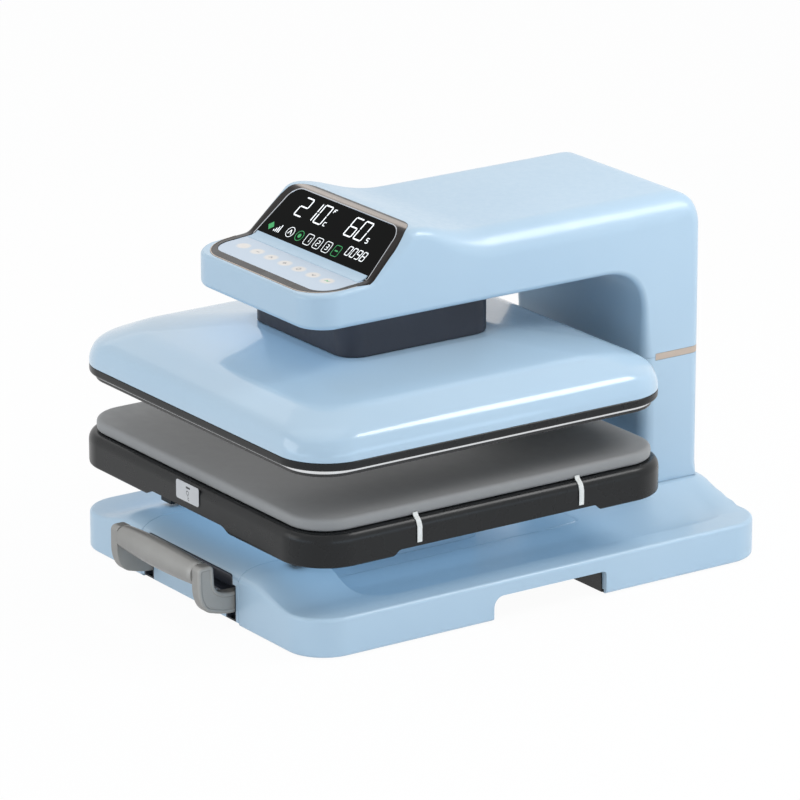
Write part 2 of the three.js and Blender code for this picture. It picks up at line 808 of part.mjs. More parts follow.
// The panel's top line: along the touch strip, up the display and over the crest
function panelBand(depth, grow) {
  const front = panelFront - grow;
  const back = panelTop + 12 + grow;
  const dip = depth + grow;
  return prismAlongX(polygon([
    [front, panelFrontHeight - dip],
    [panelKink + dip * 0.4, panelKinkHeight - dip],
    [panelTop + dip * 0.4, panelTopHeight - dip * 0.9],
    [back, crestHeight - dip - 3],
    [back, crestHeight + 10],
    [front, crestHeight + 10],
  ]), -armHalfWidth - 1, armHalfWidth + 1);
}

// The panel seen from above: wide round corners in front, narrower behind the display
function panelPlan(grow) {
  const half = armHalfWidth + 1;
  const corner = headCorner + 6;
  const front = panelFront - grow;
  const back = panelTop + 12 + grow;
  const narrow = half - 7 + grow;
  const shape = new THREE.Shape();
  shape.absarc(half - corner, front + corner, corner, -Math.PI / 2, 0);
  shape.lineTo(half, panelKink + 12);
  shape.lineTo(narrow, back - 17);
  shape.quadraticCurveTo(narrow - 2, back, narrow - 17, back);
  shape.lineTo(17 - narrow, back);
  shape.quadraticCurveTo(2 - narrow, back, -narrow, back - 17);
  shape.lineTo(-half, panelKink + 12);
  shape.absarc(corner - half, front + corner, corner, Math.PI, 1.5 * Math.PI);
  shape.closePath();
  return prism(shape, panelFrontHeight - 20, crestHeight + 10, 6);
}

// A frame of reference on the display's slope: x along the width, y up the slope, z outwards
function onSlope(solid) {
  const tilt = Math.atan2(panelTopHeight - panelKinkHeight, panelTop - panelKink);
  const degrees = THREE.MathUtils.radToDeg(tilt);
  return solid.rotate([degrees, 0, 0]).translate([0, panelKink, panelKinkHeight]);
}

const slopeLength = Math.hypot(panelTop - panelKink, panelTopHeight - panelKinkHeight);

function glassShape(grow) {
  const low = glassMargin - grow;
  const high = slopeLength - glassMargin + 1 + grow;
  const corner = glassCorner + grow;
  const wide = stripHalfWidth + grow;
  const narrow = glassTopHalfWidth + grow;
  const shape = new THREE.Shape();
  shape.moveTo(-wide, low);
  shape.lineTo(wide, low);
  shape.lineTo(narrow, high - corner);
  shape.absarc(narrow - corner, high - corner, corner, 0, Math.PI / 2);
  shape.absarc(corner - narrow, high - corner, corner, Math.PI / 2, Math.PI);
  shape.closePath();
  return shape;
}

const glassTop = -0.4;
const glassPlate = (grow, z0, z1) => onSlope(prism(glassShape(grow), z0, z1));

// The touch strip: square against the display, with large round corners in front
function stripPlate(grow, z0, z1) {
  const tilt = Math.atan2(panelKinkHeight - panelFrontHeight, panelKink - panelFront);
  const half = stripHalfWidth + grow;
  const reach = stripBack - stripFront + grow;
  const shape = new THREE.Shape();
  shape.moveTo(half, grow);
  shape.lineTo(-half, grow);
  shape.absarc(stripCorner - half, stripCorner - reach, stripCorner, Math.PI, 1.5 * Math.PI);
  shape.absarc(half - stripCorner, stripCorner - reach, stripCorner, -Math.PI / 2, 0);
  shape.closePath();
  const height = panelFrontHeight + (stripBack - panelFront) * Math.tan(tilt);
  const plate = prism(shape, z0, z1, 5);
  return plate.rotate([THREE.MathUtils.radToDeg(tilt), 0, 0]).translate([0, stripBack, height]);
}

const stripTop = -0.4;
const stripThickness = 2.2;

function panelBezel() {
  const frame = armBody.intersect(panelBand(bezelThickness, 0)).intersect(panelPlan(0));
  return cut(frame, glassPlate(fit, -12, 8), stripPlate(fit, -10, 8));
}

const panelCutter = panelBand(bezelThickness, fit).intersect(panelPlan(fit));

function underside(grow) {
  const front = headFront + undersideLip - grow;
  const back = columnFront - throatRadius - 6 + grow;
  const width = 2 * (armHalfWidth - undersideLip + grow);
  return roundedShape(width, back - front, headCorner - undersideLip, 0, (front + back) / 2);
}

// The room that the trim band takes round the sides and the back
function stripeRoom(clear) {
  const depth = stripeDepth + clear;
  const bottom = stripeBottom - clear;
  const top = stripeTop + clear;
  const slice = box(-baseWidth, baseWidth, columnFront + columnEdge - clear, baseDepth, bottom, top);
  const core = roundedShape(
    columnOutline.width - 2 * depth,
    columnOutline.depth - 2 * depth,
    columnEdge - depth,
    0,
    columnOutline.y,
  );
  return slice.subtract(prism(core, bottom - 1, top + 1));
}

function armShell() {
  const parting = (stripeBottom + stripeTop) / 2 + fit / 2;
  const above = box(-beyond, beyond, -beyond, beyond, parting, beyond);
  const opening = prism(underside(fit), armBottom - 5, armBottom + 12);
  return cut(armBody, armHollow, opening, panelCutter, stripeRoom(fit)).intersect(above);
}

function armBottomCover() {
  const bottom = armBottom + undersideRecess;
  const plate = prism(underside(0), bottom, bottom + undersidePlate);
  const mouthSide = collarWidth + 2 * collarGap;
  const mouth = roundedShape(mouthSide, mouthSide, collarCorner + collarGap, 0, platenY);
  return plate.subtract(prism(mouth, bottom - 1, bottom + undersidePlate + 1));
}

function columnShell() {
  const parting = (stripeBottom + stripeTop) / 2 - fit / 2;
  const below = box(-beyond, beyond, 0, beyond, humpTop + fit, parting);
  const window = prismAlongY(rearPanelShape(fit), columnRear - 10, columnRear + 5);
  return cut(armBody, armHollow, stripeRoom(fit), window).intersect(below);
}

function rearPanelShape(grow) {
  const middle = (rearPanelBottom + rearPanelTop) / 2;
  const height = rearPanelTop - rearPanelBottom + 2 * grow;
  return roundedShape(2 * (rearPanelHalfWidth + grow), height, 6 + grow, 0, middle);
}

function rearPanel() {
  const inside = columnRear - rearPanelThickness;
  const plate = prismAlongY(rearPanelShape(0), inside, columnRear);
  const vents = Array.from({ length: ventCount }, (_, i) => {
    const x = (i - (ventCount - 1) / 2) * ventPitch;
    const z = rearPanelTop - 12 - ventHeight / 2;
    return box(x - ventWidth / 2, x + ventWidth / 2, inside - 1, columnRear + 1, z - ventHeight / 2, z + ventHeight / 2);
  });
  const hole = (x, width, height) => box(
    x - width / 2 - fit,
    x + width / 2 + fit,
    inside - 1,
    columnRear + 1,
    socketHeight - height / 2 - fit,
    socketHeight + height / 2 + fit,
  );
  return cut(plate, ...vents, hole(inletX, inletWidth, inletHeight), hole(switchX, switchWidth, switchHeight));
}

// Mains inlet with three blades in its recess
function powerInlet() {
  const face = columnRear + fit;
  const flange = prismAlongY(
    roundedShape(inletWidth + 2 * inletFlange, inletHeight + 2 * inletFlange, 3, inletX, socketHeight),
    face,
    face + 1.5,
  );
  const body = box(
    inletX - inletWidth / 2,
    inletX + inletWidth / 2,
    face - inletDepth,
    face + 0.1,
    socketHeight - inletHeight / 2,
    socketHeight + inletHeight / 2,
  );
  const recess = prismAlongY(
    roundedShape(inletWidth - 4, inletHeight - 4, 4, inletX, socketHeight),
    face - inletDepth + 2.5,
    face + 2,
  );
  const blades = [[-7, -1], [0, 3], [7, -1]].map(([x, z]) => box(
    inletX + x - 1,
    inletX + x + 1,
    face - inletDepth + 1,
    face - 4,
    socketHeight + z - 2,
    socketHeight + z + 2,
  ));
  return join(cut(join(flange, body), recess), ...blades);
}

function switchFrame() {
  const face = columnRear + fit;
  const rim = roundedShape(switchWidth + 4, switchHeight + 4, 2, switchX, socketHeight);
  const opening = box(
    switchX - switchWidth / 2 + 2,
    switchX + switchWidth / 2 - 2,
    face - 10,
    face + 5,
    socketHeight - switchHeight / 2 + 1.5,
    socketHeight + switchHeight / 2 - 1.5,
  );
  const body = box(
    switchX - switchWidth / 2,
    switchX + switchWidth / 2,
    face - 12,
    face + 0.1,
    socketHeight - switchHeight / 2,
    socketHeight + switchHeight / 2,
  );
  return cut(join(prismAlongY(rim, face, face + 1.2), body), opening);
}

// A rocker with two sloping halves, built round its own pivot
function rockerBody() {
  const reach = switchHeight / 2 - 1.5 - runningFit;
  const outline = polygon([
    [-4, -reach + 1],
    [1.6, -reach],
    [1.2, 0],
    [1.6, reach],
    [-4, reach - 1],
    [-6, 0],
  ]);
  const halfWidth = switchWidth / 2 - 2 - runningFit;
  return prismAlongX(outline, -halfWidth, halfWidth);
}

function powerBoard() {
  const back = backPlateFront - fit;
  const boardY = back - 10;
  const middle = powerBoardBottom + powerBoardHeight / 2;
  const half = frameHalfWidth - powerBoardMargin;
  const board = box(-half, half, boardY - 1.6, boardY, powerBoardBottom, powerBoardBottom + powerBoardHeight);
  const posts = [[-1, -1], [1, -1], [-1, 1], [1, 1]].map(([x, z]) => {
    const postX = x * (half - 6);
    const postZ = middle + z * (powerBoardHeight / 2 - 6);
    return box(postX - 3, postX + 3, boardY - 0.1, back, postZ - 3, postZ + 3);
  });
  const transformer = box(-38, -6, boardY - 20, boardY - 1.5, middle - 8, middle + 24);
  const relay = box(8, 28, boardY - 16, boardY - 1.5, middle - 4, middle + 22);
  const heatSink = box(-30, 30, boardY - 14, boardY - 1.5, middle - 32, middle - 22);
  return join(board, ...posts, transformer, relay, heatSink);
}

function displayBoard() {
  const shape = roundedShape(2 * (armHalfWidth - boardMargin), slopeLength - 2 * glassMargin - 4, 3, 0, slopeLength / 2);
  const top = glassTop - glassThickness - fit;
  return onSlope(prism(shape, top - boardThickness, top));
}

// Drive

function gearbox() {
  const front = platenY - 21;
  const back = motorY + motorRadius + 4;
  const bottom = headPlateTop + fit;
  const outline = roundedShape(2 * gearboxHalfWidth, back - front, 12, 0, (front + back) / 2);
  const housing = prism(outline, bottom, bottom + gearboxHeight - 3);
  const lid = roundedShape(2 * gearboxHalfWidth - 6, back - front - 6, 9, 0, (front + back) / 2);
  const screwBore = uprightRod(journalRadius + fit, 0, platenY, bottom - 1, bottom + 9);
  return cut(join(housing, prism(lid, bottom, bottom + gearboxHeight)), screwBore);
}

function driveMotor() {
  const top = headPlateTop;
  const can = uprightRod(motorRadius, 0, motorY, top - motorLength, top, motorSides);
  const endBell = uprightRod(motorRadius - 7, 0, motorY, top - motorLength - 3, top - motorLength + 0.1);
  return join(can, endBell);
}

function screwBearing() {
  const top = headPlateBottom - fit;
  const body = uprightRod(bearingRadius, 0, platenY, top - bearingHeight, top);
  return body.subtract(uprightRod(journalRadius + fit, 0, platenY, top - bearingHeight - 1, top + 1));
}

function leadScrew() {
  const journalBottom = headPlateBottom - fit - bearingHeight;
  const thread = uprightRod(screwRadius, 0, 0, screwBottom, journalBottom - fit);
  const journal = uprightRod(journalRadius, 0, 0, journalBottom - fit - 0.1, headPlateTop + 8);
  const point = new THREE.CylinderGeometry(screwRadius, screwRadius - 2, 2.5, 12);
  point.rotateX(Math.PI / 2);
  point.translate(0, 0, screwBottom - 1.2);
  return join(thread, journal, toSolid(point));
}

function guideBush(x) {
  const top = headPlateTop + 4;
  const sleeve = uprightRod(bushRadius, x, platenY, top - bushHeight, top);
  const flange = uprightRod(bushRadius + 3, x, platenY, headPlateBottom - fit - 3, headPlateBottom - fit);
  return join(sleeve, flange).subtract(uprightRod(rodRadius + fit, x, platenY, top - bushHeight - 1, top + 1));
}

// Hot head, built round the platens' centre

const coverOutline = { width: coverWidth, depth: coverWidth, radius: coverCorner };
const plateOutline = { width: platenSide, depth: platenSide, radius: platenCorner };

// Heights of the cover from its edge inwards, lowered by the wall on its inside
function coverLevels(wall) {
  const plateauInset = (coverWidth - collarWidth) / 2 - 8;
  const levels = [
    [0, seamHeight + 5],
    [1.2, shoulderHeight - 17],
    [4.5, shoulderHeight - 9.5],
    [11, shoulderHeight - 4.4],
    [20, shoulderHeight],
    [creaseInset, creaseHeight],
    [creaseInset + 16, creaseHeight + 2.8],
    [plateauInset - 24, plateauHeight - 3.4],
    [plateauInset - 6, plateauHeight - 0.6],
    [plateauInset, plateauHeight],
  ];
  return levels.map(([inset, height]) => [inset + wall, height - wall]);
}

function coverShell() {
  const outer = stack(coverOutline, [[0, seamHeight], ...coverLevels(0)], [1, 1, 5]);
  const inner = stack(coverOutline, [[coverWall, seamHeight - 1], ...coverLevels(coverWall)], [1, 1, 3]);
  const screwHole = uprightRod(screwRadius + 4, 0, 0, shoulderHeight, plateauHeight + 1);
  return cut(outer, inner, screwHole, ...pillars(pillarRadius + fit, shoulderHeight, plateauHeight + 1));
}

function coverBand() {
  const top = seamHeight - fit;
  const bottom = top - bandHeight;
  const outer = stack(coverOutline, [[1.5, bottom], [0.4, bottom + 0.9], [0, bottom + 2.4], [0, top]], [1, 1, 6]);
  const opening = { width: platenSide + 5, depth: platenSide + 5, radius: platenCorner + 2.5 };
  const bore = stack(opening, [[0, bottom - 1], [0, top + 1]], [1, 1, 5]);
  return outer.subtract(bore);
}

function heatPlate() {
  return stack(plateOutline, [[1, plateBottom], [0, plateBottom + 1], [0, plateTop - 1], [1, plateTop]], [1, 1, 6]);
}

const pillarPlaces = [[-1, -1], [1, -1], [1, 1], [-1, 1]];

function pillars(radius, z0, z1) {
  return pillarPlaces.map(([x, y]) => uprightRod(radius, x * pillarSpread, y * pillarSpread, z0, z1, 10));
}

// Sheathed element: a loop near the plate's edge, doubled back inside itself
function heatingElement() {
  const height = plateTop + fit + elementRadius;
  const quarter = (x, y, start, radius, turn) => Array.from({ length: 4 }, (_, i) => {
    const angle = start + turn * i / 3 * Math.PI / 2;
    return [x + radius * Math.cos(angle), y + radius * Math.sin(angle)];
  });
  const loopSide = (reach, radius, turn) => {
    const centre = reach - radius;
    const signs = turn > 0 ? [[1, -1], [1, 1], [-1, 1], [-1, -1]] : [[-1, -1], [-1, 1], [1, 1], [1, -1]];
    return signs.flatMap(([x, y], i) => {
      const start = turn > 0 ? (i - 1) * Math.PI / 2 : (3 - i) * Math.PI / 2;
      return quarter(x * centre, y * centre, start, radius, turn);
    });
  };
  const outerReach = platenSide / 2 - elementInset;
  const innerReach = outerReach - elementPitch;
  const route = [
    [elementPitch / 2, -outerReach],
    ...loopSide(outerReach, elementBend, 1),
    [-elementPitch / 2, -outerReach],
    [-elementPitch / 2, -innerReach],
    ...loopSide(innerReach, elementBend, -1),
    [elementPitch, -innerReach],
  ];
  const points = route.map(([x, y]) => new THREE.Vector3(x, y, height));
  const path = new THREE.CatmullRomCurve3(points, false, 'centripetal');
  const section = new THREE.Shape();
  section.absarc(0, 0, elementRadius, 0, 2 * Math.PI);
  const settings = { steps: 44, curveSegments: 3, bevelEnabled: false, extrudePath: path };
  return toSolid(new THREE.ExtrudeGeometry(section, settings));
}

function insulationBoard() {
  const side = platenSide - 12;
  const board = prism(roundedShape(side, side, platenCorner - 6), insulationBottom, insulationBottom + insulationThickness);
  const holes = pillars(pillarRadius + fit, insulationBottom - 1, insulationBottom + insulationThickness + 1);
  return cut(board, ...holes);
}

function collar() {
  const bottom = plateauHeight + fit;
  const outer = prism(roundedShape(collarWidth, collarWidth, collarCorner), bottom, collarTop, 4);
  const hollowSide = collarWidth - 2 * collarWall;
  const inner = prism(roundedShape(hollowSide, hollowSide, collarCorner - collarWall), bottom - 1, collarTop + 1, 4);
  const foot = roundedShape(collarWidth + 3, collarWidth + 3, collarCorner + 1.5);
  return cut(join(outer, prism(foot, bottom, bottom + 1.5)), inner);
}

function pressYoke() {
  const plate = prism(roundedShape(yokeSide, yokeSide, 12), yokeBottom, yokeTop);
  const legs = pillars(pillarRadius, plateTop + fit, yokeBottom + 0.1);
  return cut(join(plate, ...legs), uprightRod(screwRadius + 2, 0, 0, yokeBottom - 1, yokeTop + 1));
}

// A thin sleeve hung from the frame, which the collar slides down over
function collarSleeve() {
  const corner = collarCorner - collarWall - runningFit;
  const inside = sleeveSide - 2 * sleeveWall;
  const top = headPlateBottom - fit;
  const outer = prism(roundedShape(sleeveSide, sleeveSide, corner, 0, platenY), sleeveBottom, top);
  const hollow = roundedShape(inside, inside, corner - sleeveWall, 0, platenY);
  return cut(outer, prism(hollow, sleeveBottom - 1, top + 1), panelBand(bezelThickness, fit));
}

function leadNut() {
  const bottom = yokeTop + fit;
  const body = uprightRod(nutRadius, 0, 0, bottom + nutFlange / 2, bottom + nutHeight);
  const flange = uprightRod(nutRadius + 8, 0, 0, bottom, bottom + nutFlange);
  return join(body, flange).subtract(uprightRod(screwRadius + fit, 0, 0, bottom - 1, bottom + nutHeight + 1));
}

function guideRod(x) {
  return uprightRod(rodRadius, x, 0, yokeTop + fit, rodTop);
}

// Drawer

function drawerCover() {
  const region = box(-drawerHalfWidth, drawerHalfWidth, drawerFront - 1, drawerRear, drawerBottom, humpTop + 5);
  const solidFront = box(-beyond, beyond, drawerFront - 1, drawerFront + drawerFrontThickness, 0, beyond);
  const inside = baseForm(baseWall).subtract(solidFront);
  const slots = [-1, 1].map((side) => handleSlot(side));
  const hole = roundedShape(pedestalWidth + 2 * fit, pedestalDepth + 2 * fit, pedestalCorner + fit, 0, platenY);
  return cut(
    baseBlock.intersect(region),
    inside,
    prism(hole, 0, humpTop),
    pocketBlock(0),
    ...slots,
    ...handlePinHoles(),
  );
}

function pocketBlock(shrink) {
  const width = 2 * (pocketHalfWidth - shrink);
  const height = pocketTop - pocketBottom - 2 * shrink;
  const middle = (pocketTop + pocketBottom) / 2;
  const shape = roundedShape(width, height, 5 - shrink, 0, middle);
  return prismAlongY(shape, drawerFront - 1, drawerFront + pocketDepth - shrink);
}

// The slot that the end of a handle leg turns in
function handleSlot(side) {
  const outer = handleHalfWidth + runningFit;
  const inner = handleHalfWidth - handleLegWidth - runningFit;
  const [x0, x1] = side > 0 ? [inner, outer] : [-outer, -inner];
  const back = pivotY + rootRadius + runningFit;
  return box(x0, x1, drawerFront - 1, back, drawerBottom - 1, pocketBottom + 4.5);
}

const pinReach = 3;

function handlePin(side, radius, reach) {
  const inner = handleHalfWidth - handleLegWidth - reach;
  const outer = handleHalfWidth + reach;
  const [x0, x1] = side > 0 ? [inner, outer] : [-outer, -inner];
  return crossRod(radius, x0, x1, pivotY, pivotHeight);
}

function handlePinHoles() {
  return [-1, 1].map((side) => handlePin(side, pinRadius + fit / 2, pinReach + fit));
}

function handlePocket() {
  const outer = pocketBlock(fit);
  const inner = pocketBlock(fit + linerWall);
  const tidyFront = box(-beyond, beyond, -beyond, drawerFront + 1, 0, beyond);
  const slots = [-1, 1].map((side) => handleSlot(side));
  const skin = baseForm(baseWall / 2);
  return cut(outer, inner, tidyFront, ...slots).intersect(skin);
}

function drawerChassis() {
  const front = drawerFront + drawerFrontThickness + fit;
  const flangeTop = dishFloor - baseWall - fit;
  const inside = chassisHalfWidth - chassisWall;
  const channel = polygon([
    [-chassisHalfWidth, chassisFloor],
    [chassisHalfWidth, chassisFloor],
    [chassisHalfWidth, flangeTop],
    [inside, flangeTop],
    [inside, chassisFloor + chassisWall],
    [-inside, chassisFloor + chassisWall],
    [-inside, flangeTop],
    [-chassisHalfWidth, flangeTop],
  ]);
  const bracket = box(-50, 50, front, front + chassisWall, chassisFloor + chassisWall / 2, flangeTop);
  return join(prismAlongY(channel, front + chassisWall / 2, drawerRear - 2), bracket);
}

// A slide rail as a C profile: side is 1 on the right, and its open face looks inwards or outwards
function slideRail(side, back, mouth, bottom, top) {
  const wall = back > mouth ? -railWall : railWall;
  const outline = polygon([
    [side * back, bottom],
    [side * mouth, bottom],
    [side * mouth, bottom + railWall],
    [side * (back + wall), bottom + railWall],
    [side * (back + wall), top - railWall],
    [side * mouth, top - railWall],
    [side * mouth, top],
    [side * back, top],
  ]);
  return prismAlongY(outline, drawerFront + drawerFrontThickness + 1, drawerRear - 2);
}

function fixedRail(side) {
  return slideRail(side, seamX - fit / 2, seamX - 9, railBottom, railTop);
}

function movingRail(side) {
  const shrink = railWall + railSlack;
  return slideRail(side, chassisHalfWidth + fit, seamX - 4, railBottom + shrink, railTop - shrink);
}

function pedestal() {
  const bottom = chassisFloor + chassisWall + fit;
  const top = trayTop - trayTopThickness - carrierPlate - 2 * fit;
  const outer = prism(roundedShape(pedestalWidth, pedestalDepth, pedestalCorner), bottom, top);
  const insideWidth = pedestalWidth - 2 * pedestalWall;
  const insideDepth = pedestalDepth - 2 * pedestalWall;
  const inner = roundedShape(insideWidth, insideDepth, pedestalCorner - pedestalWall);
  return outer.subtract(prism(inner, bottom - 1, top - pedestalWall));
}

// Two rails under a web, with their front ends drawn down to a low toe
function trayCarrier() {
  const top = trayTop - trayTopThickness - fit;
  const inner = carrierHalfWidth - carrierLeg;
  const webFront = carrierFront + carrierToe;
  const web = box(-carrierHalfWidth, carrierHalfWidth, webFront, carrierRear, top - carrierPlate, top);
  const outline = polygon([
    [carrierFront, carrierBottom],
    [carrierRear, carrierBottom],
    [carrierRear, top],
    [webFront, top],
    [carrierFront + carrierToe / 2, carrierBottom + 8],
    [carrierFront, carrierBottom + 4],
  ]);
  const ceiling = top - carrierPlate;
  const inside = polygon([
    [carrierFront + carrierPlate, carrierBottom - 1],
    [carrierRear + 1, carrierBottom - 1],
    [carrierRear + 1, ceiling],
    [webFront + carrierPlate, ceiling],
    [carrierFront + carrierToe / 2 + carrierPlate, carrierBottom + 8 - carrierPlate],
    [carrierFront + carrierPlate, carrierBottom + 4 - carrierPlate],
  ]);
  const rails = [-carrierHalfWidth, inner].map((x) => prismAlongX(outline, x, x + carrierLeg));
  const hollows = [-carrierHalfWidth, inner].map(
    (x) => prismAlongX(inside, x + carrierWall, x + carrierLeg - carrierWall),
  );
  return cut(join(web, ...rails), ...hollows);
}

// The arch cut in the lower edge of the tray's walls, in a side view
function archShape(half, step) {
  const low = trayBottom - 2;
  const shape = new THREE.Shape();
  shape.moveTo(-half - step, low);
  shape.lineTo(half + step, low);
  shape.lineTo(half + step, trayBottom);
  shape.bezierCurveTo(half + step / 2, trayBottom, half + step / 2, trayRaised, half, trayRaised);
  shape.lineTo(-half, trayRaised);
  shape.bezierCurveTo(-half - step / 2, trayRaised, -half - step / 2, trayBottom, -half - step, trayBottom);
  return shape;
}

function tray() {
  const outline = { width: trayWidth, depth: trayWidth, radius: trayCorner };
  const outer = stack(outline, [
    [2, trayBottom],
    [0.5, trayBottom + 0.8],
    [0, trayBottom + 3],
    [0, trayTop - trayShoulder],
    [trayShoulder * 0.3, trayTop - trayShoulder * 0.3],
    [trayShoulder, trayTop],
  ], [1, 1, 6]);
  const under = trayTop - trayTopThickness;
  const inner = stack(outline, [[trayWall, trayBottom - 1], [trayWall, under]], [1, 1, 4]);
  const frontArch = prismAlongY(archShape(frontArchHalf, frontArchStep), -trayWidth, trayWidth);
  const sideArch = prismAlongX(archShape(sideArchHalf, sideArchStep), -trayWidth, trayWidth);
  return cut(outer, inner, frontArch, sideArch);
}

function pad() {
  const middle = padBottom + padThickness * 0.45;
  return stack(plateOutline, [
    [2.2, padBottom],
    [0.8, padBottom + 1.2],
    [0, middle],
    [0.4, padTop - padEdge],
    [padEdge * 0.35, padTop - padEdge * 0.45],
    [padEdge, padTop - 0.7],
    [padEdge * 3, padTop - 0.25],
    [padEdge * 8, padTop],
  ], [1, 1, 6]);
}

// An elastic strap from the pad's side, over the tray's shoulder and down its wall
function strap() {
  const padSide = platenSide / 2 + fit;
  const traySide = trayWidth / 2 + fit;
  const low = trayTop + fit;
  const shoulderIn = traySide - trayShoulder;
  const inner = [
    [padSide, strapTop],
    [padSide, low],
    [shoulderIn, low],
    [traySide - trayShoulder * 0.25, low - trayShoulder * 0.3],
    [traySide, low - trayShoulder],
    [traySide, strapEnd],
  ];
  const outer = [
    [traySide + strapThickness, strapEnd],
    [traySide + strapThickness, low - trayShoulder],
    [traySide + strapThickness * 0.6, low + strapThickness * 0.1],
    [shoulderIn, low + strapThickness],
    [padSide + strapThickness, low + strapThickness],
    [padSide + strapThickness, strapTop],
  ];
  return prismAlongY(polygon([...inner, ...outer]), -strapWidth / 2, strapWidth / 2);
}

function labelPlate() {
  const front = -trayWidth / 2 - fit;
  const middle = trayRaised + 1.2 + labelHeight / 2;
  const shape = roundedShape(labelWidth, labelHeight, 2.5, labelX, middle);
  return prismAlongY(shape, front - labelThickness, front, 3);
}

// Handle

function handleLeg(side) {
  const outer = gripY - legThickness / 2 + 1;
  const inner = gripY + legThickness / 2;
  const shape = new THREE.Shape();
  shape.moveTo(pivotY, pivotHeight - rootRadius);
  shape.absarc(pivotY, pivotHeight, rootRadius, -Math.PI / 2, Math.PI / 2);
  shape.lineTo(drawerFront - 2, pivotHeight + rootRadius);
  shape.bezierCurveTo(inner + 4, 33, inner + 0.5, 37, inner, 45);
  shape.lineTo(inner - 0.5, legTop - 4);
  shape.quadraticCurveTo(inner - 0.5, legTop, inner - 5, legTop);
  shape.lineTo(outer + 5, legTop);
  shape.quadraticCurveTo(outer, legTop, outer, legTop - 5);
  shape.lineTo(outer, 42);
  shape.bezierCurveTo(outer, 27, outer + 6, 17.5, outer + 15, 16);
  shape.quadraticCurveTo(drawerFront - 10, pivotHeight - rootRadius, pivotY, pivotHeight - rootRadius);
  const x0 = side > 0 ? handleHalfWidth - handleLegWidth : -handleHalfWidth;
  const leg = prismAlongX(shape, x0, x0 + handleLegWidth, 4, 1.2);
  return leg.subtract(crossRod(pinRadius + fit, x0 - 1, x0 + handleLegWidth + 1, pivotY, pivotHeight));
}

function handleGrip() {
  const half = handleHalfWidth - handleLegWidth - fit;
  const steps = 6;
  const profile = [new THREE.Vector2(0, -half), new THREE.Vector2(gripEndRadius - 1, -half)];
  for (let i = 0; i <= steps; i += 1) {
    const along = -half + 1.5 + (2 * half - 3) * i / steps;
    const swell = 1 - (along / half) ** 2;
    profile.push(new THREE.Vector2(gripEndRadius + (gripMidRadius - gripEndRadius) * swell, along));
  }
  profile.push(new THREE.Vector2(gripEndRadius - 1, half), new THREE.Vector2(0, half));
  const geometry = new THREE.LatheGeometry(profile, 16);
  geometry.rotateZ(-Math.PI / 2);
  geometry.translate(0, gripY, gripHeight);
  return outward(mergeVertices(bare(geometry), 1e-3));
}

function bare(geometry) {
  geometry.deleteAttribute('normal');
  geometry.deleteAttribute('uv');
  return geometry;
}

// Assembly

function group(...members) {
  const assembled = new THREE.Group();
  assembled.add(...members);
  return assembled;
}

const footX = baseWidth / 2 - footInsetX;
const footY = baseDepth / 2 - footInsetY;
const feet = [
  ['foot_front_left', -footX, -footY],
  ['foot_front_right', footX, -footY],
  ['foot_rear_left', -footX, footY],
  ['foot_rear_right', footX, footY],
].map(([name, x, y]) => part(name, uprightRod(footRadius, x, y, 0, baseBottom - fit), nearBlack));

const fixedBody = group(
  part('base_shell', baseShell(), blue),
  part('base_pan', basePan(), paintedSteel),
  ...feet,
  part('lift_liner_left', liftLiner(-1), charcoal),
  part('lift_liner_right', liftLiner(1), charcoal),
  part('steel_frame', steelFrame(), paintedSteel),
  part('column_shell', columnShell(), blue),
  part('arm_shell', armShell(), blue),
  part('arm_bottom_cover', armBottomCover(), blue),
  part('trim_band', armBody.intersect(stripeRoom(0)), champagne),
  part('rear_panel', rearPanel(), charcoal),
  part('power_inlet', powerInlet(), nearBlack),
  part('switch_frame', switchFrame(), nearBlack),
  part('power_board', powerBoard(), boardGreen),
  part('panel_bezel', panelBezel(), gunmetal),
  part('touch_strip', stripPlate(0, stripTop - stripThickness, stripTop), paleLabel),
  part('display_glass', glassPlate(0, glassTop - glassThickness, glassTop), darkGlass),
  part('display_board', displayBoard(), boardGreen),
  part('gearbox', gearbox(), bareAluminium),
  part('drive_motor', driveMotor(), steel),
  part('screw_bearing', screwBearing(), steel),
  part('collar_sleeve', collarSleeve(), slate),
  part('guide_bush_left', guideBush(-rodSpread), bronze),
  part('guide_bush_right', guideBush(rodSpread), bronze),
  part('slide_rail_fixed_left', fixedRail(-1), steel),
  part('slide_rail_fixed_right', fixedRail(1), steel),
);

const rocker = part('rocker_switch', rockerBody(), nearBlack);
rocker.position.set(switchX, columnRear + 1, socketHeight);
rocker.rotation.x = rockerTilt;

const screw = part('lead_screw', leadScrew(), steel);
screw.position.set(0, platenY, 0);

const hotHead = group(
  part('cover_shell', coverShell(), blue),
  part('cover_band', coverBand(), charcoal),
  part('heat_plate', heatPlate(), bareAluminium),
  part('heating_element', heatingElement(), steel),
  part('insulation_board', insulationBoard(), insulationCream),
  part('collar', collar(), slate),
  part('press_yoke', pressYoke(), paintedSteel),
  part('lead_nut', leadNut(), bronze),
  part('guide_rod_left', guideRod(-rodSpread), steel),
  part('guide_rod_right', guideRod(rodSpread), steel),
);
hotHead.position.set(0, platenY, 0);

const straps = [1, -1].flatMap((side) => strapPlaces.map((along, i) => {
  const name = `strap_${side > 0 ? 'right' : 'left'}_${i === 0 ? 'front' : 'rear'}`;
  const mesh = part(name, strap(), whiteElastic);
  mesh.position.set(0, along, 0);
  mesh.rotation.z = side > 0 ? 0 : Math.PI;
  return mesh;
}));

const platform = group(
  part('pedestal', pedestal(), paintedSteel),
  part('tray_carrier', trayCarrier(), paintedSteel),
  part('tray', tray(), charcoal),
  part('pad', pad(), padRubber),
  part('label_plate', labelPlate(), paleLabel),
  ...straps,
);
platform.position.set(0, platenY, 0);

const handle = group(
  part('handle_leg_left', handleLeg(-1), handleGrey),
  part('handle_leg_right', handleLeg(1), handleGrey),
  part('handle_grip', handleGrip(), handleGrey),
);

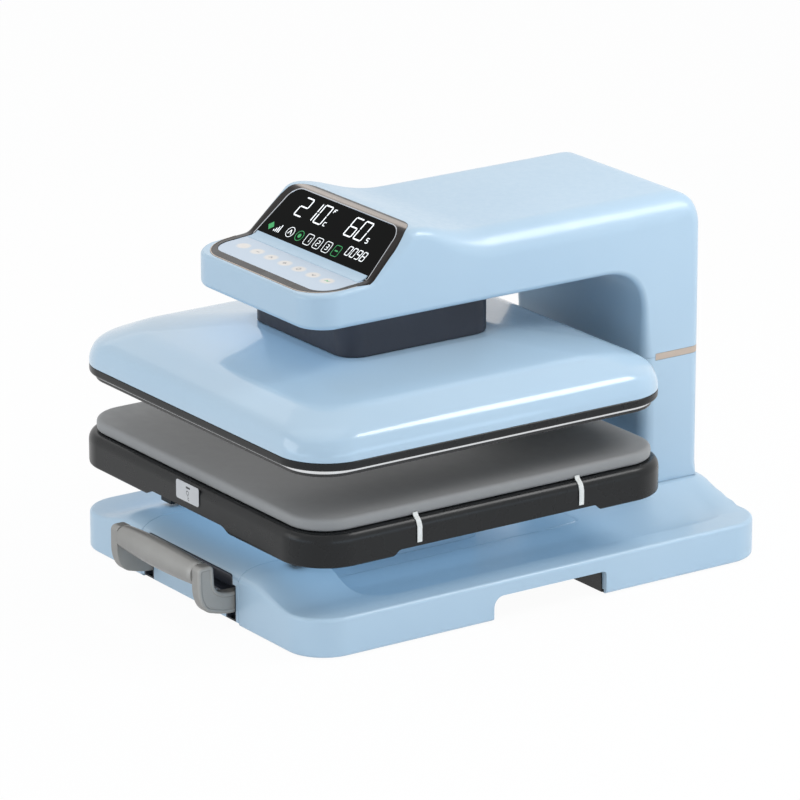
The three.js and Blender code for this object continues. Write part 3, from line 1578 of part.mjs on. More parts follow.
const drawer = group(
  part('drawer_cover', drawerCover(), blue),
  part('drawer_chassis', drawerChassis(), steel),
  part('handle_pocket', handlePocket(), charcoal),
  part('handle_pin_left', handlePin(-1, pinRadius, pinReach), steel),
  part('handle_pin_right', handlePin(1, pinRadius, pinReach), steel),
  part('slide_rail_moving_left', movingRail(-1), steel),
  part('slide_rail_moving_right', movingRail(1), steel),
  platform,
  handle,
);

// The origin is on the ground, under the middle of the whole press
const press = group(fixedBody, rocker, screw, hotHead, drawer);
const extent = new THREE.Box3().setFromObject(press);
const middle = extent.getCenter(new THREE.Vector3());
press.position.set(-middle.x, -middle.y, -extent.min.z);

export default press;
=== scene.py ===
import contextlib
import json
import math

import bmesh
import bpy
import numpy as np
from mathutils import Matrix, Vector

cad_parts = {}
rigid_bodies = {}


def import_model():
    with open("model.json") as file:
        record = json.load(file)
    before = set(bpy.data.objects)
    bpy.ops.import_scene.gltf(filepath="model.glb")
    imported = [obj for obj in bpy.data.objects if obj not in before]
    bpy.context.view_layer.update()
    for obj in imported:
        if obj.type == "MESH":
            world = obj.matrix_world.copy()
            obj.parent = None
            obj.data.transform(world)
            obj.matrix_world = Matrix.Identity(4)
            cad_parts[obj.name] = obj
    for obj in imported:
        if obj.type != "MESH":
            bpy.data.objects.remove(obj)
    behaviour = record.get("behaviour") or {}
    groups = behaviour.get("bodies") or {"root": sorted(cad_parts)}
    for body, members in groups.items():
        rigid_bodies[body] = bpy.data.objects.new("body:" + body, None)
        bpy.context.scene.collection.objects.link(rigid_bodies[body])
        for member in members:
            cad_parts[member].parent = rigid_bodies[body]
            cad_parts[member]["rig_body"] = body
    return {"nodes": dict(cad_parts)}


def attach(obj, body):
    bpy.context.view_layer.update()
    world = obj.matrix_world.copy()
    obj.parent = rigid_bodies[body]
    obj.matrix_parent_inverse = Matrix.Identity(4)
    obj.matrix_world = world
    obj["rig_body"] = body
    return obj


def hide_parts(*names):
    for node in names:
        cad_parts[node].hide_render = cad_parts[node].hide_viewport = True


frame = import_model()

scene = bpy.context.scene
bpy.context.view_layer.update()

# Sizes are in millimetres, with the base's middle at the origin, and go to metres in placed()

MM = 0.001
BASE_SETBACK = 20.8
FIT = 0.3
SIDES = (1, "right"), (-1, "left")
FAR_X, FAR_Y, FAR_Z = 250, 300, 420  # outside every piece

BASE_WIDTH, BASE_DEPTH, BASE_CORNER, BASE_BOTTOM, BOTTOM_EDGE = 392, 500, 38, 1.5, 3
BASE_HALF = BASE_WIDTH / 2
RIM_TOP, RIM_EDGE = 37.5, 3.5
DISH_FLOOR, DISH_FRONT, DISH_REAR, DISH_WIDTH, DISH_CORNER, DISH_SLOPE = 26, -176.5, 232, 341, 36, 16
DISH_RISE, DISH_RISE_START, DISH_RISE_RUN = 8.5, 92, 128
HUMP_TOP, HUMP_FACE, HUMP_EDGE_RUN, HUMP_HALF, HUMP_FLANK = 55, 42, 28, 100, 60
FOOT_REACH = 68
NOTCH_FRONT, NOTCH_REAR, NOTCH_TOP, NOTCH_DEPTH = -57, 66, 23.5, 62
NOTCH_FRONT_ROUND, NOTCH_REAR_ROUND, NOTCH_WALL, NOTCH_LINER_SETBACK = 10, 4, 1.5, 6.5
SEAM_X, DRAWER_FRONT, DRAWER_REAR, DRAWER_BOTTOM, FACE_THICKNESS = 80, -250, 120, 4.5, 18
GROOVE_HALF, GROOVE_DEPTH = 1.05, 0.9
SLOT_REAR, SLOT_MARGIN, SLOT_TOP = -233, 2.4, 38.2
LEG_ROOM, RECESS_SLOTS = (0.4, 40), (2.5, 37.8)  # margin round the legs, and top
POCKET_WIDTH, POCKET_HEIGHT, POCKET_CORNER, POCKET_Z, POCKET_DEPTH, POCKET_WALL = 142, 20.5, 5, 36.25, 14, 1.6
PAN_SEAT, PEDESTAL_HOLE = (384, 492, 34), (120.6, 160.6, 15, -64)
UNDER_COLUMN_HALF, INSIDE_HALF, INSIDE_FRONT, INSIDE_REAR, INSIDE_TOP = 68, 79, -229, 237, 7
DRAWER_WALL, DRAWER_HOLLOW_TOP = 3, 23

PLATEN_Y, PLATEN_SIDE, PLATEN_CORNER = -54, 381, 38
TRAY_SIDE, TRAY_CORNER, TRAY_TOP, TRAY_BOTTOM, TRAY_RAISED = 396, 46, 114, 83.5, 89
TRAY_WALL, TRAY_TOP_THICKNESS, TRAY_SHOULDER, TRAY_SHOULDER_DROP = 3, 4, 6.5, 9
STRAP_PLACES, STRAP_WIDTH, STRAP_THICKNESS = (-139, 35), 5, 0.75

COVER_SIDE, COVER_CORNER, COVER_WALL, SEAM_HEIGHT = 395, 48, 2.5, 178.5
BAND_GAP = 2.5
COLLAR_SIDE, COLLAR_CORNER, COLLAR_WALL = 160, 22, 3
SCREW_HOLE, PILLAR_SPREAD, PILLAR_RADIUS = 11, 50, 8

ARM_HALF, ARM_BOTTOM, ARM_TOP, ARM_EDGE = 101, 262.5, 325, 25
HEAD_FRONT, HEAD_CORNER, LIP, NOSE_TOP = -183.6, 30, 5.5, 4
COLUMN_FRONT, COLUMN_REAR, COLUMN_EDGE = 177, 243, 13
THROAT_RADIUS, BACK_RADIUS = 45, 30
STRIPE_BOTTOM, STRIPE_TOP, STRIPE_DEPTH = 173.5, 179.5, 1.6
UNDERSIDE_HALF, UNDERSIDE_FRONT, UNDERSIDE_REAR, UNDERSIDE_CORNER = 92, HEAD_FRONT + 9, 126, HEAD_CORNER - 9
WINDOW_WIDTH, WINDOW_HEIGHT, WINDOW_CORNER, WINDOW_Z = 116, 90, 6, 117

PANEL_FRONT, PANEL_FRONT_Z = -178, 294
KINK, KINK_Z = -121, 299
PANEL_TOP, PANEL_TOP_Z, PANEL_BACK, CREST = -79, 338.5, -67, 340
SLOPE = math.atan2(PANEL_TOP_Z - KINK_Z, PANEL_TOP - KINK)
SLOPE_LENGTH = math.hypot(PANEL_TOP_Z - KINK_Z, PANEL_TOP - KINK)
STRIP_TILT = math.atan2(KINK_Z - PANEL_FRONT_Z, KINK - PANEL_FRONT)
BEZEL_THICKNESS, EDGE_LINE_GROWTH = 3.5, 0.35
STRIP_FRONT, STRIP_BACK, STRIP_CORNER, STRIP_HALF = -168, -122, 20, 90
GLASS_HALF, GLASS_TOP_HALF, GLASS_CORNER, GLASS_MARGIN, RIM_WIDTH = 90, 84.5, 15, 1.5, 1.2
SPOT_PLACES, SPOT_V = (-69.1, -46, -24.75, -2.9, 19.6, 42.75, 64.6), -23.75
SPOT_HALF_X, SPOT_HALF_Y = 8.4, 6.4

HANDLE_HALF, LEG_WIDTH, LEG_TOP, LEG_EDGE = 73.5, 11.5, 60.5, 2.4
PIVOT_Y, PIVOT_Z, PIN_HOLE, ROOT_RADIUS = -244, 22, 3.3, 10
GRIP_Y, GRIP_Z, GRIP_END, GRIP_MIDDLE = -279, 51, 10.5, 12.6


# Objects and meshes


def link(name, data):
    """A new object in the scene that holds a mesh, a camera or a light."""
    thing = bpy.data.objects.new(name, data)
    scene.collection.objects.link(thing)
    return thing


def aim(thing, place, towards):
    thing.location = place
    thing.rotation_euler = Vector(towards).to_track_quat("-Z", "Y").to_euler()


camera = bpy.data.cameras.new("view_from_the_right")
camera.lens, camera.sensor_width, camera.clip_end = 243.54, 36, 30
scene.camera = link("view_from_the_right", camera)
aim(scene.camera, (3.8342, -2.6455, 1.6457), (-0.7838, 0.5404, -0.3062))


def placed(points):
    """Points of the drawing, in millimetres, as metres in the shared frame."""
    return ((np.asarray(points, float) + [0, BASE_SETBACK, 0]) * MM).tolist()


@contextlib.contextmanager
def edited(thing):
    """Opens an object's mesh for changes and writes them back."""
    shape = bmesh.new()
    shape.from_mesh(thing.data)
    yield shape
    shape.to_mesh(thing.data)
    shape.free()


def turn_outwards(thing):
    with edited(thing) as shape:
        bmesh.ops.recalc_face_normals(shape, faces=shape.faces)
        if shape.calc_volume(signed=True) < 0:
            bmesh.ops.reverse_faces(shape, faces=shape.faces)


def mesh_object(points, faces, name="piece"):
    mesh = bpy.data.meshes.new(name)
    mesh.from_pydata(placed(points), [], faces)
    thing = link(name, mesh)
    turn_outwards(thing)
    return thing


def loft(rings, closed=False):
    """Skins rings of equal point counts; the ends get one face each, or meet when closed."""
    count, last = len(rings[0]), len(rings) - 1
    faces = []
    for ring in range(last + closed):
        here, there = ring * count, (ring + 1) % len(rings) * count
        for i in range(count):
            after = (i + 1) % count
            faces.append((here + i, here + after, there + after, there + i))
    if not closed:
        faces += [tuple(range(count))[::-1], tuple(range(last * count, (last + 1) * count))]
    return mesh_object(np.vstack(rings), faces)


def upright(a, b, depth):
    return np.column_stack((a, b, depth))


def along_x(a, b, depth):
    return np.column_stack((depth, a, b))


def along_y(a, b, depth):
    return np.column_stack((a, depth, b))


def at_depth(outline, depth, place):
    """A flat outline's points in space; place says which way its depth runs."""
    outline = np.asarray(outline, float)
    return place(outline[:, 0], outline[:, 1], np.full(len(outline), depth))


def prism(outline, low, high, place=upright):
    return loft([at_depth(outline, depth, place) for depth in (low, high)])


def built_up(outline, levels, place, closed=False):
    """A solid from pairs of growth and depth; outline gives the flat points at a growth."""
    return loft([at_depth(outline(grow), depth, place) for grow, depth in levels], closed)


def block(x0, x1, y0, y1, z0, z1):
    x0, x1 = sorted((x0, x1))
    return prism([(x0, y0), (x1, y0), (x1, y1), (x0, y1)], z0, z1)


def apply_modifiers(thing):
    bpy.context.view_layer.update()
    evaluated = thing.evaluated_get(bpy.context.evaluated_depsgraph_get())
    mesh = bpy.data.meshes.new_from_object(evaluated)
    thing.modifiers.clear()
    thing.data = mesh


def carve(thing, operation, *tools):
    for tool in tools:
        cut = thing.modifiers.new("cut", "BOOLEAN")
        cut.operation, cut.solver, cut.object = operation, "MANIFOLD", tool
    apply_modifiers(thing)
    for tool in tools:
        bpy.data.objects.remove(tool)
    return thing


def copy_of(thing):
    return link("piece", thing.data.copy())


def smooth(thing, degrees):
    thing.data.shade_smooth()
    thing.data.set_sharp_from_angle(angle=math.radians(degrees))


def even_normals(thing):
    """Keeps large flat faces flat in shading beside their rounded edges."""
    weigh = thing.modifiers.new("normals", "WEIGHTED_NORMAL")
    weigh.mode, weigh.weight, weigh.keep_sharp = "FACE_AREA", 60, True
    apply_modifiers(thing)


# Outlines


def ease(value):
    share = np.clip(value, 0, 1)
    return share * share * (3 - 2 * share)


def curve(count, *corners):
    """Points of a Bezier curve, or of a line between two corners, without its last point."""
    t = np.linspace(0, 1, count, endpoint=False)[:, None]
    corners = [np.array(corner, float) for corner in corners]
    while len(corners) > 1:
        corners = [(1 - t) * a + t * b for a, b in zip(corners, corners[1:])]
    return corners[0]


def arc(centre, radius, start, end, count):
    angles = np.radians(np.linspace(start, end, count))
    return np.column_stack((centre[0] + radius * np.cos(angles), centre[1] + radius * np.sin(angles)))


def quarter(count):
    return np.linspace(0, math.pi / 2, count)


def left_of(along):
    """Unit vectors at right angles to the given directions, on their left."""
    along = along / np.linalg.norm(along, axis=1)[:, None]
    return np.column_stack((-along[:, 1], along[:, 0]))


def left_of_closed(outline):
    return left_of(np.roll(outline, -1, 0) - np.roll(outline, 1, 0))


def shrunk(outline, inset):
    """A closed outline that turns left, drawn in along its own normals."""
    return outline + left_of_closed(outline) * inset


def rounded_levels(levels, passes):
    """Cuts the corners of a profile so that it reads as one soft curve."""
    profile = np.array(levels, float)
    for _ in range(passes):
        before, after = profile[:-1], profile[1:]
        cut = np.empty((2 * len(before), 2))
        cut[0::2] = before * 0.75 + after * 0.25
        cut[1::2] = before * 0.25 + after * 0.75
        profile = np.vstack((profile[:1], cut[1:-1], profile[-1:]))
    return profile


class Plate:
    """A rounded rectangle, with its corners in so many steps and its sides in others."""

    def __init__(self, width, depth, corner, middle=0, taper=1.0):
        self.width, self.depth, self.corner, self.middle, self.taper = width, depth, corner, middle, taper

    def points(self, inset=0, around=12, sides=(1, 1)):
        corner = max(self.corner - inset * self.taper, 0.5)
        half_x, half_y = self.width / 2 - inset - corner, self.depth / 2 - inset - corner
        centres = [(half_x, -half_y), (half_x, half_y), (-half_x, half_y), (-half_x, -half_y)]
        ring = []
        for side, (x, y) in enumerate(centres):
            end, start = side * math.pi / 2, (side - 1) * math.pi / 2
            angles = [start + i / around * math.pi / 2 for i in range(around + 1)]
            ring += [(x + corner * math.cos(a), y + corner * math.sin(a)) for a in angles]
            (next_x, next_y), count = centres[(side + 1) % 4], sides[(side + 1) % 2]
            ring += [(x + (next_x - x) * (i / count) + corner * math.cos(end),
                      y + (next_y - y) * (i / count) + corner * math.sin(end)) for i in range(1, count)]
        return np.array(ring) + [0, self.middle]

    def ring(self, inset, height, around=12, sides=(1, 1)):
        flat = self.points(inset, around, sides)
        z = height(flat[:, 0], flat[:, 1]) if callable(height) else np.full(len(flat), height)
        return np.column_stack((flat, z))

    def rings(self, levels, around=12, sides=(1, 1)):
        return [self.ring(inset, height, around, sides) for inset, height in levels]

    def depth_inside(self, x, y):
        corner_x = np.abs(x) - (self.width / 2 - self.corner)
        corner_y = np.abs(y - self.middle) - (self.depth / 2 - self.corner)
        outside = np.hypot(np.maximum(corner_x, 0), np.maximum(corner_y, 0))
        return self.corner - outside - np.minimum(np.maximum(corner_x, corner_y), 0)


# Base


base_plate = Plate(BASE_WIDTH, BASE_DEPTH, BASE_CORNER)
dish_plate = Plate(DISH_WIDTH, DISH_REAR - DISH_FRONT, DISH_CORNER, (DISH_REAR + DISH_FRONT) / 2)
column_plate = Plate(2 * ARM_HALF, COLUMN_REAR - COLUMN_FRONT, COLUMN_EDGE, (COLUMN_REAR + COLUMN_FRONT) / 2)


def edge_drop(distance, run, rise):
    share = np.clip((run - distance) / run, 0, 1)
    return rise * (1 - np.sqrt(1 - share ** 2))


def plain_top(x, y):
    """The base's upper face: rim, hump at the front, and a dish that rises gently to the rear."""
    inset = base_plate.depth_inside(x, y)
    rim = RIM_TOP - edge_drop(inset, RIM_EDGE, RIM_EDGE)
    hump = HUMP_TOP - edge_drop(inset, HUMP_EDGE_RUN, HUMP_TOP - HUMP_FACE)
    share = np.where(y < 0, 1 - ease((np.abs(x) - HUMP_HALF) / HUMP_FLANK), 0)
    top = rim + (hump - rim) * share
    floor = DISH_FLOOR + DISH_RISE * ease((y - DISH_RISE_START) / DISH_RISE_RUN)
    into_dish = np.clip(dish_plate.depth_inside(x, y) / DISH_SLOPE, 0, 1)
    return top - (top - floor) * np.sin(into_dish * math.pi / 2)


def base_form():
    steps = 16, (48, 40)
    edge = [(BOTTOM_EDGE, BASE_BOTTOM), (1.6, 1.8), (0.7, 2.5), (0.15, 3.4), (0, BASE_BOTTOM + BOTTOM_EDGE)]
    edge += [(RIM_EDGE * inset, plain_top) for inset in (0, 0.05, 0.18, 0.4, 0.7, 1)]
    rings = base_plate.rings(edge, *steps)
    outer, inner = rings[-1], dish_plate.ring(0, plain_top, *steps)
    for share in np.linspace(0, 1, 15)[1:]:
        ring = outer + (inner - outer) * share
        ring[:, 2] = plain_top(ring[:, 0], ring[:, 1])
        rings.append(ring)
    insets = [DISH_SLOPE * share for share in (0.06, 0.14, 0.24, 0.36, 0.5, 0.65, 0.8, 0.9, 1)]
    insets += [24, 34, 46, 60, 76, 94, 112, 130, 142]
    return loft(rings + dish_plate.rings([(inset, plain_top) for inset in insets], *steps))


def column_foot():
    def flare(distance):
        def height(x, y):
            ground = plain_top(x, y)
            sunk = FIT if distance == FOOT_REACH else 0
            return ground + (HUMP_TOP - ground) * (1 - distance / FOOT_REACH) ** 2 - sunk
        return height

    levels = [(-FOOT_REACH, DISH_FLOOR / 2)]
    levels += [(-distance, flare(distance)) for distance in (FOOT_REACH, 60, 52, 44, 36, 29, 22, 16, 11, 7, 3.5, 0)]
    foot = loft(column_plate.rings(levels, 10, (20, 8)))
    return carve(foot, "INTERSECT", prism(base_plate.points(0, 16), 0, HUMP_TOP + 1))


def notch(side, inset, start):
    """The room of a lift notch, drawn in by an inset; it starts outside the base's side."""
    front_round = arc((NOTCH_FRONT + NOTCH_FRONT_ROUND, NOTCH_TOP - NOTCH_FRONT_ROUND), NOTCH_FRONT_ROUND, 90, 180, 12)
    rear_round = arc((NOTCH_REAR - NOTCH_REAR_ROUND, NOTCH_TOP - NOTCH_REAR_ROUND), NOTCH_REAR_ROUND, 0, 90, 8)
    outline = np.vstack(([(NOTCH_FRONT, -2), (NOTCH_REAR, -2)], rear_round, front_round))
    return prism(shrunk(outline, inset), side * (BASE_HALF + start), side * (BASE_HALF - NOTCH_DEPTH + inset), along_x)


def seam_grooves():
    """Fine Vs that break the edges of both mouldings along the drawer's seams."""
    front = -BASE_DEPTH / 2
    y = np.concatenate((np.linspace(front + 0.6, front + 30, 24), np.linspace(front + 34, DRAWER_REAR - 1, 60)))
    grooves = []
    for x in (SEAM_X, -SEAM_X):
        top = plain_top(np.full(len(y), float(x)), y)
        path = np.vstack(([(front, 2), (front, 30)], np.column_stack((y, top))))
        outwards = left_of(np.gradient(path, axis=0))
        rings = [np.array([(x - GROOVE_HALF, *high), (x + GROOVE_HALF, *high), (x, *low)])
                 for high, low in zip(path + outwards * 0.4, path - outwards * GROOVE_DEPTH)]
        grooves.append(loft(rings))
    return grooves


def pin_holes():
    circle = arc((PIVOT_Y, PIVOT_Z), PIN_HOLE - 0.1, 0, 337.5, 16)
    return [prism(circle, side * (HANDLE_HALF + 4), side * (HANDLE_HALF - LEG_WIDTH - 4), along_x) for side, _ in SIDES]


def leg_slots(grow=SLOT_MARGIN, top=SLOT_TOP):
    """Room for the roots of the handle's legs, so far out from them."""
    inner, outer = HANDLE_HALF - LEG_WIDTH - grow, HANDLE_HALF + grow
    return [block(side * inner, side * outer, DRAWER_FRONT - 5, SLOT_REAR + grow, 0, top) for side, _ in SIDES]


def pocket(inset=0.0, front=-5.0):
    """The room behind the grip, drawn in by an inset."""
    room = Plate(POCKET_WIDTH, POCKET_HEIGHT, POCKET_CORNER, POCKET_Z).points(inset, 8)
    return prism(room, DRAWER_FRONT + front, DRAWER_FRONT + POCKET_DEPTH - inset, along_y)


def base_pieces():
    body = carve(base_form(), "UNION", column_foot())
    strip = copy_of(body)
    above, front = HUMP_TOP + 5, DRAWER_FRONT - 10
    channel = block(-SEAM_X - FIT / 2, SEAM_X + FIT / 2, front, DRAWER_REAR + FIT, -1, above)
    pan_seat = prism(Plate(*PAN_SEAT).points(), -1, DRAWER_BOTTOM + FIT)
    under_column = block(-UNDER_COLUMN_HALF, UNDER_COLUMN_HALF, COLUMN_FRONT + COLUMN_EDGE, INSIDE_REAR, -1, above)
    floor_room = block(-INSIDE_HALF, INSIDE_HALF, INSIDE_FRONT, INSIDE_REAR, -1, INSIDE_TOP)
    notches = [notch(side, 0, 1) for side, _ in SIDES]
    carve(body, "DIFFERENCE", channel, pan_seat, under_column, floor_room, *notches)
    for moulding in (body, strip):
        carve(moulding, "DIFFERENCE", *seam_grooves())
    keep = block(-SEAM_X + FIT / 2, SEAM_X - FIT / 2, front, DRAWER_REAR, DRAWER_BOTTOM, above)
    carve(strip, "INTERSECT", keep)
    half = SEAM_X - DRAWER_WALL
    hollow = block(-half, half, DRAWER_FRONT + FACE_THICKNESS, DRAWER_REAR + 1, 0, DRAWER_HOLLOW_TOP)
    pedestal_hole = prism(Plate(*PEDESTAL_HOLE).points(), 0, above)
    carve(strip, "DIFFERENCE", hollow, pedestal_hole, *pin_holes(), *leg_slots(), pocket())
    finish_piece(body, "base_moulding", "frame", "housing", "blue_housing", "base_shell")
    finish_piece(strip, "drawer_moulding", "drawer", "housing", "blue_housing", "drawer_cover")


def notch_liners():
    for side, name in SIDES:
        liner = notch(side, FIT, -NOTCH_LINER_SETBACK)
        ground = block(-FAR_X, FAR_X, -FAR_Y, FAR_Y, -6, BASE_BOTTOM + 0.1)
        carve(liner, "DIFFERENCE", notch(side, FIT + NOTCH_WALL, 4), ground)
        finish_piece(liner, "lift_pocket_" + name, "frame", "charcoal", "charcoal_plastic", "lift_liner_" + name)


def leg_sockets():
    """Dark liners round the roots of the handle's legs, open to the front and below."""
    liners, other = leg_slots(SLOT_MARGIN - FIT, SLOT_TOP - 0.8)
    carve(liners, "UNION", other)
    front = block(-FAR_X, FAR_X, -FAR_Y, DRAWER_FRONT + FIT, -1, FAR_Z)
    below = block(-FAR_X, FAR_X, -FAR_Y, FAR_Y, -1, DRAWER_BOTTOM + 0.2)
    carve(liners, "DIFFERENCE", front, below)
    carve(liners, "DIFFERENCE", *leg_slots(*LEG_ROOM))
    carve(liners, "DIFFERENCE", pocket(), *pin_holes())
    finish_piece(liners, "leg_sockets", "drawer", "slate", "charcoal_plastic")


def grip_recess():
    """The dark recess behind the grip, flush with the drawer's front."""
    shell = pocket(FIT, 0.2)
    carve(shell, "DIFFERENCE", pocket(FIT + POCKET_WALL), *leg_slots(*RECESS_SLOTS))
    finish_piece(shell, "grip_recess", "drawer", "slate", "charcoal_plastic", "handle_pocket")


# Arm, head and column


def panel_z(y):
    """The height of the panel's front part, as drawn on from its slope."""
    return PANEL_FRONT_Z + (y - PANEL_FRONT) * math.tan(STRIP_TILT)


def arm_outline():
    """The side view of arm and column: y, z and the radius of the long edges there."""
    rise = 4 * np.array((math.cos(SLOPE), math.sin(SLOPE)))
    glass_start, glass_end = (KINK, KINK_Z) + rise, (PANEL_TOP, PANEL_TOP_Z) - rise
    crest_corner, crest_start = (PANEL_TOP + 3, PANEL_TOP_Z + 3 * math.tan(SLOPE)), (-60, CREST - 2)
    slope_end = (10, ARM_TOP - 0.5)
    top_end, rear_top = (COLUMN_REAR - BACK_RADIUS, ARM_TOP), (COLUMN_REAR, ARM_TOP - BACK_RADIUS)
    rear_foot, front_foot = (COLUMN_REAR, HUMP_TOP - 8), (COLUMN_FRONT, HUMP_TOP - 8)
    below_throat = (COLUMN_FRONT, 155)
    throat_low, throat_high = (COLUMN_FRONT, ARM_BOTTOM - THROAT_RADIUS), (COLUMN_FRONT - THROAT_RADIUS, ARM_BOTTOM)
    nose = HEAD_FRONT - 4
    nose_low, nose_high = (nose, ARM_BOTTOM), (nose, panel_z(nose))
    mid_strip, before_kink = (-150, panel_z(-150)), (KINK - 5, panel_z(KINK - 5))
    runs = (
        (LIP, NOSE_TOP, 4, nose_low, nose_high),
        (NOSE_TOP, NOSE_TOP, 8, nose_high, mid_strip),
        (NOSE_TOP, 5, 6, mid_strip, before_kink),
        (5, 5, 6, before_kink, (KINK, KINK_Z), glass_start),
        (5, 8, 8, glass_start, glass_end),
        (8, 10, 12, glass_end, crest_corner, crest_start),
        (10, ARM_EDGE, 24, crest_start, (-42, CREST - 4), (-25, ARM_TOP - 0.5), slope_end),
        (ARM_EDGE, ARM_EDGE, 12, slope_end, top_end),
        (ARM_EDGE, COLUMN_EDGE, 16, top_end, (COLUMN_REAR, ARM_TOP), rear_top),
        (COLUMN_EDGE, COLUMN_EDGE, 12, rear_top, rear_foot),
        (COLUMN_EDGE, COLUMN_EDGE, 2, rear_foot, front_foot),
        (COLUMN_EDGE, COLUMN_EDGE, 8, front_foot, below_throat),
        (COLUMN_EDGE, LIP, 8, below_throat, throat_low),
        (LIP, LIP, 16, throat_low, (COLUMN_FRONT, ARM_BOTTOM), throat_high),
        (LIP, LIP, 12, throat_high, nose_low),
    )
    return np.vstack([np.column_stack((curve(count, *corners), np.linspace(first, last, count, endpoint=False)))
                      for first, last, count, *corners in runs])


def bend_limits(line):
    """The edge radius is held below the outline's own radius where it bends outwards."""
    flat = line[:, :2]
    before, after = flat - np.roll(flat, 1, 0), np.roll(flat, -1, 0) - flat
    turn = before[:, 0] * after[:, 1] - before[:, 1] * after[:, 0]
    length_before, length_after = np.linalg.norm(before, axis=1), np.linalg.norm(after, axis=1)
    angle = np.arcsin(np.clip(turn / (length_before * length_after), -1, 1))
    bends = (angle < -0.01) & (flat[:, 0] > HEAD_FRONT - 1)
    radius = np.where(bends, (length_before + length_after) / 2 / np.maximum(-angle, 0.01), 1000)
    limited = np.minimum(line[:, 2], 0.8 * radius)
    for _ in range(6):
        spread = (np.roll(limited, 1) + limited * 2 + np.roll(limited, -1)) / 4
        limited = np.minimum(spread, 0.9 * radius)
    return limited


def arm_form(grow=0.0):
    line = arm_outline()
    edges, flat = bend_limits(line), line[:, :2]
    outwards = left_of_closed(flat)
    half = ARM_HALF + grow
    rings = []
    for distance in ARM_EDGE * (1 - np.sin(quarter(12))):
        drop = edge_drop(distance, edges, edges) - grow
        rings.append((half - distance, flat - outwards * drop[:, None]))
    whole = [at_depth(p, -x, along_x) for x, p in reversed(rings)] + [at_depth(p, x, along_x) for x, p in rings]
    return carve(loft(whole), "DIFFERENCE", nose_cutter(half, HEAD_FRONT - grow, grow))


def nose_cutter(half, front, grow):
    """All that lies outside the head's rounded nose."""
    plan = Plate(2 * half, 400, HEAD_CORNER, front + 200)
    low = [(LIP * (1 - math.sin(a)), ARM_BOTTOM - 0.25 - grow + LIP * (1 - math.cos(a))) for a in quarter(9)]

    def under_panel(drop):
        return lambda x, y: panel_z(y) - drop + 0.25 + grow

    high = [(NOSE_TOP * (1 - math.cos(a)), under_panel(NOSE_TOP * (1 - math.sin(a)))) for a in quarter(9)]
    nose = loft(plan.rings(low + high, 24))
    return carve(block(-150, 150, -FAR_Y, front + HEAD_CORNER + 0.4, 180, FAR_Z), "DIFFERENCE", nose)


def panel_band(depth, grow):
    """The skin of the panel down to a depth, and all that lies above it."""
    front, back, dip = PANEL_FRONT - grow, PANEL_BACK + grow, depth + grow
    low, mid, high, end = (np.array(point, float) for point in (
        (front, PANEL_FRONT_Z - dip), (KINK + dip * 0.4, KINK_Z - dip),
        (PANEL_TOP + dip * 0.4, PANEL_TOP_Z - dip * 0.9), (back, CREST - dip - 3)))
    before, after = mid + (low - mid) * 0.1, mid + (high - mid) * 0.1
    below, beyond = high + (mid - high) * 0.12, high + (end - high) * 0.6
    outline = np.vstack(([low], curve(8, before, mid, after), curve(8, below, high, beyond),
                         [end, (back, CREST + 10), (front, CREST + 10)]))
    return carve(prism(outline, -ARM_HALF - 2, ARM_HALF + 2, along_x), "INTERSECT", panel_plan(front, back, grow))


def panel_plan(front, back, grow):
    """The panel seen from above: round at the front, and narrower from the kink to the crest."""
    corner, half, narrow = HEAD_CORNER + 6, ARM_HALF + 1, ARM_HALF - 6 + grow
    right = np.vstack((
        arc((half - 5.5 - corner, front + corner), corner, -90, 0, 20),
        curve(8, (half - 5, KINK - 14), (half - 3.5, KINK - 7), (half - 2.6, KINK)),
        curve(28, (narrow + 0.5, PANEL_TOP - 20), (narrow, PANEL_TOP - 5), (narrow - 11, back), (narrow - 31, back)),
        [(narrow - 31, back)],
    ))
    return prism(np.vstack((right, right[::-1] * [-1, 1])), PANEL_FRONT_Z - 20, CREST + 11)


def on_tilt(angle):
    """Places x, a height up a slope from the kink line, and a height above the slope."""
    def place(a, b, depth):
        y = KINK + b * math.cos(angle) - depth * math.sin(angle)
        z = KINK_Z + b * math.sin(angle) + depth * math.cos(angle)
        return np.column_stack((a, y, z))
    return place


on_display, on_strip = on_tilt(SLOPE), on_tilt(STRIP_TILT)


def glass_outline(grow=0.0):
    low, high = GLASS_MARGIN - grow, SLOPE_LENGTH - GLASS_MARGIN + 1 + grow
    corner, wide, narrow = GLASS_CORNER + grow, GLASS_HALF + grow, GLASS_TOP_HALF + grow
    return np.vstack((
        [(-wide, low), (wide, low)],
        arc((narrow - corner, high - corner), corner, 0, 90, 20),
        arc((corner - narrow, high - corner), corner, 90, 180, 20),
    ))


def strip_outline(grow=0.0):
    half, corner = STRIP_HALF + grow, STRIP_CORNER + grow
    back, front = STRIP_BACK - KINK + grow, STRIP_FRONT - KINK - grow
    return np.vstack((
        [(half, back), (-half, back)],
        arc((corner - half, front + corner), corner, 180, 270, 16),
        arc((half - corner, front + corner), corner, 270, 360, 16),
    ))


def edged_plate(outline, place, low, high, edge):
    """A plate with a small rounded upper edge."""
    return built_up(outline, [(0, low), (0, high - edge), (-0.3 * edge, high - 0.3 * edge), (-edge, high)], place)


def stripe_room(depth, clear):
    top, bottom = STRIPE_TOP + clear, STRIPE_BOTTOM - clear
    slab = block(-FAR_X, FAR_X, COLUMN_FRONT + COLUMN_EDGE - clear, FAR_Y, bottom, top)
    return carve(slab, "DIFFERENCE", prism(column_plate.points(depth), bottom - 1, top + 1))


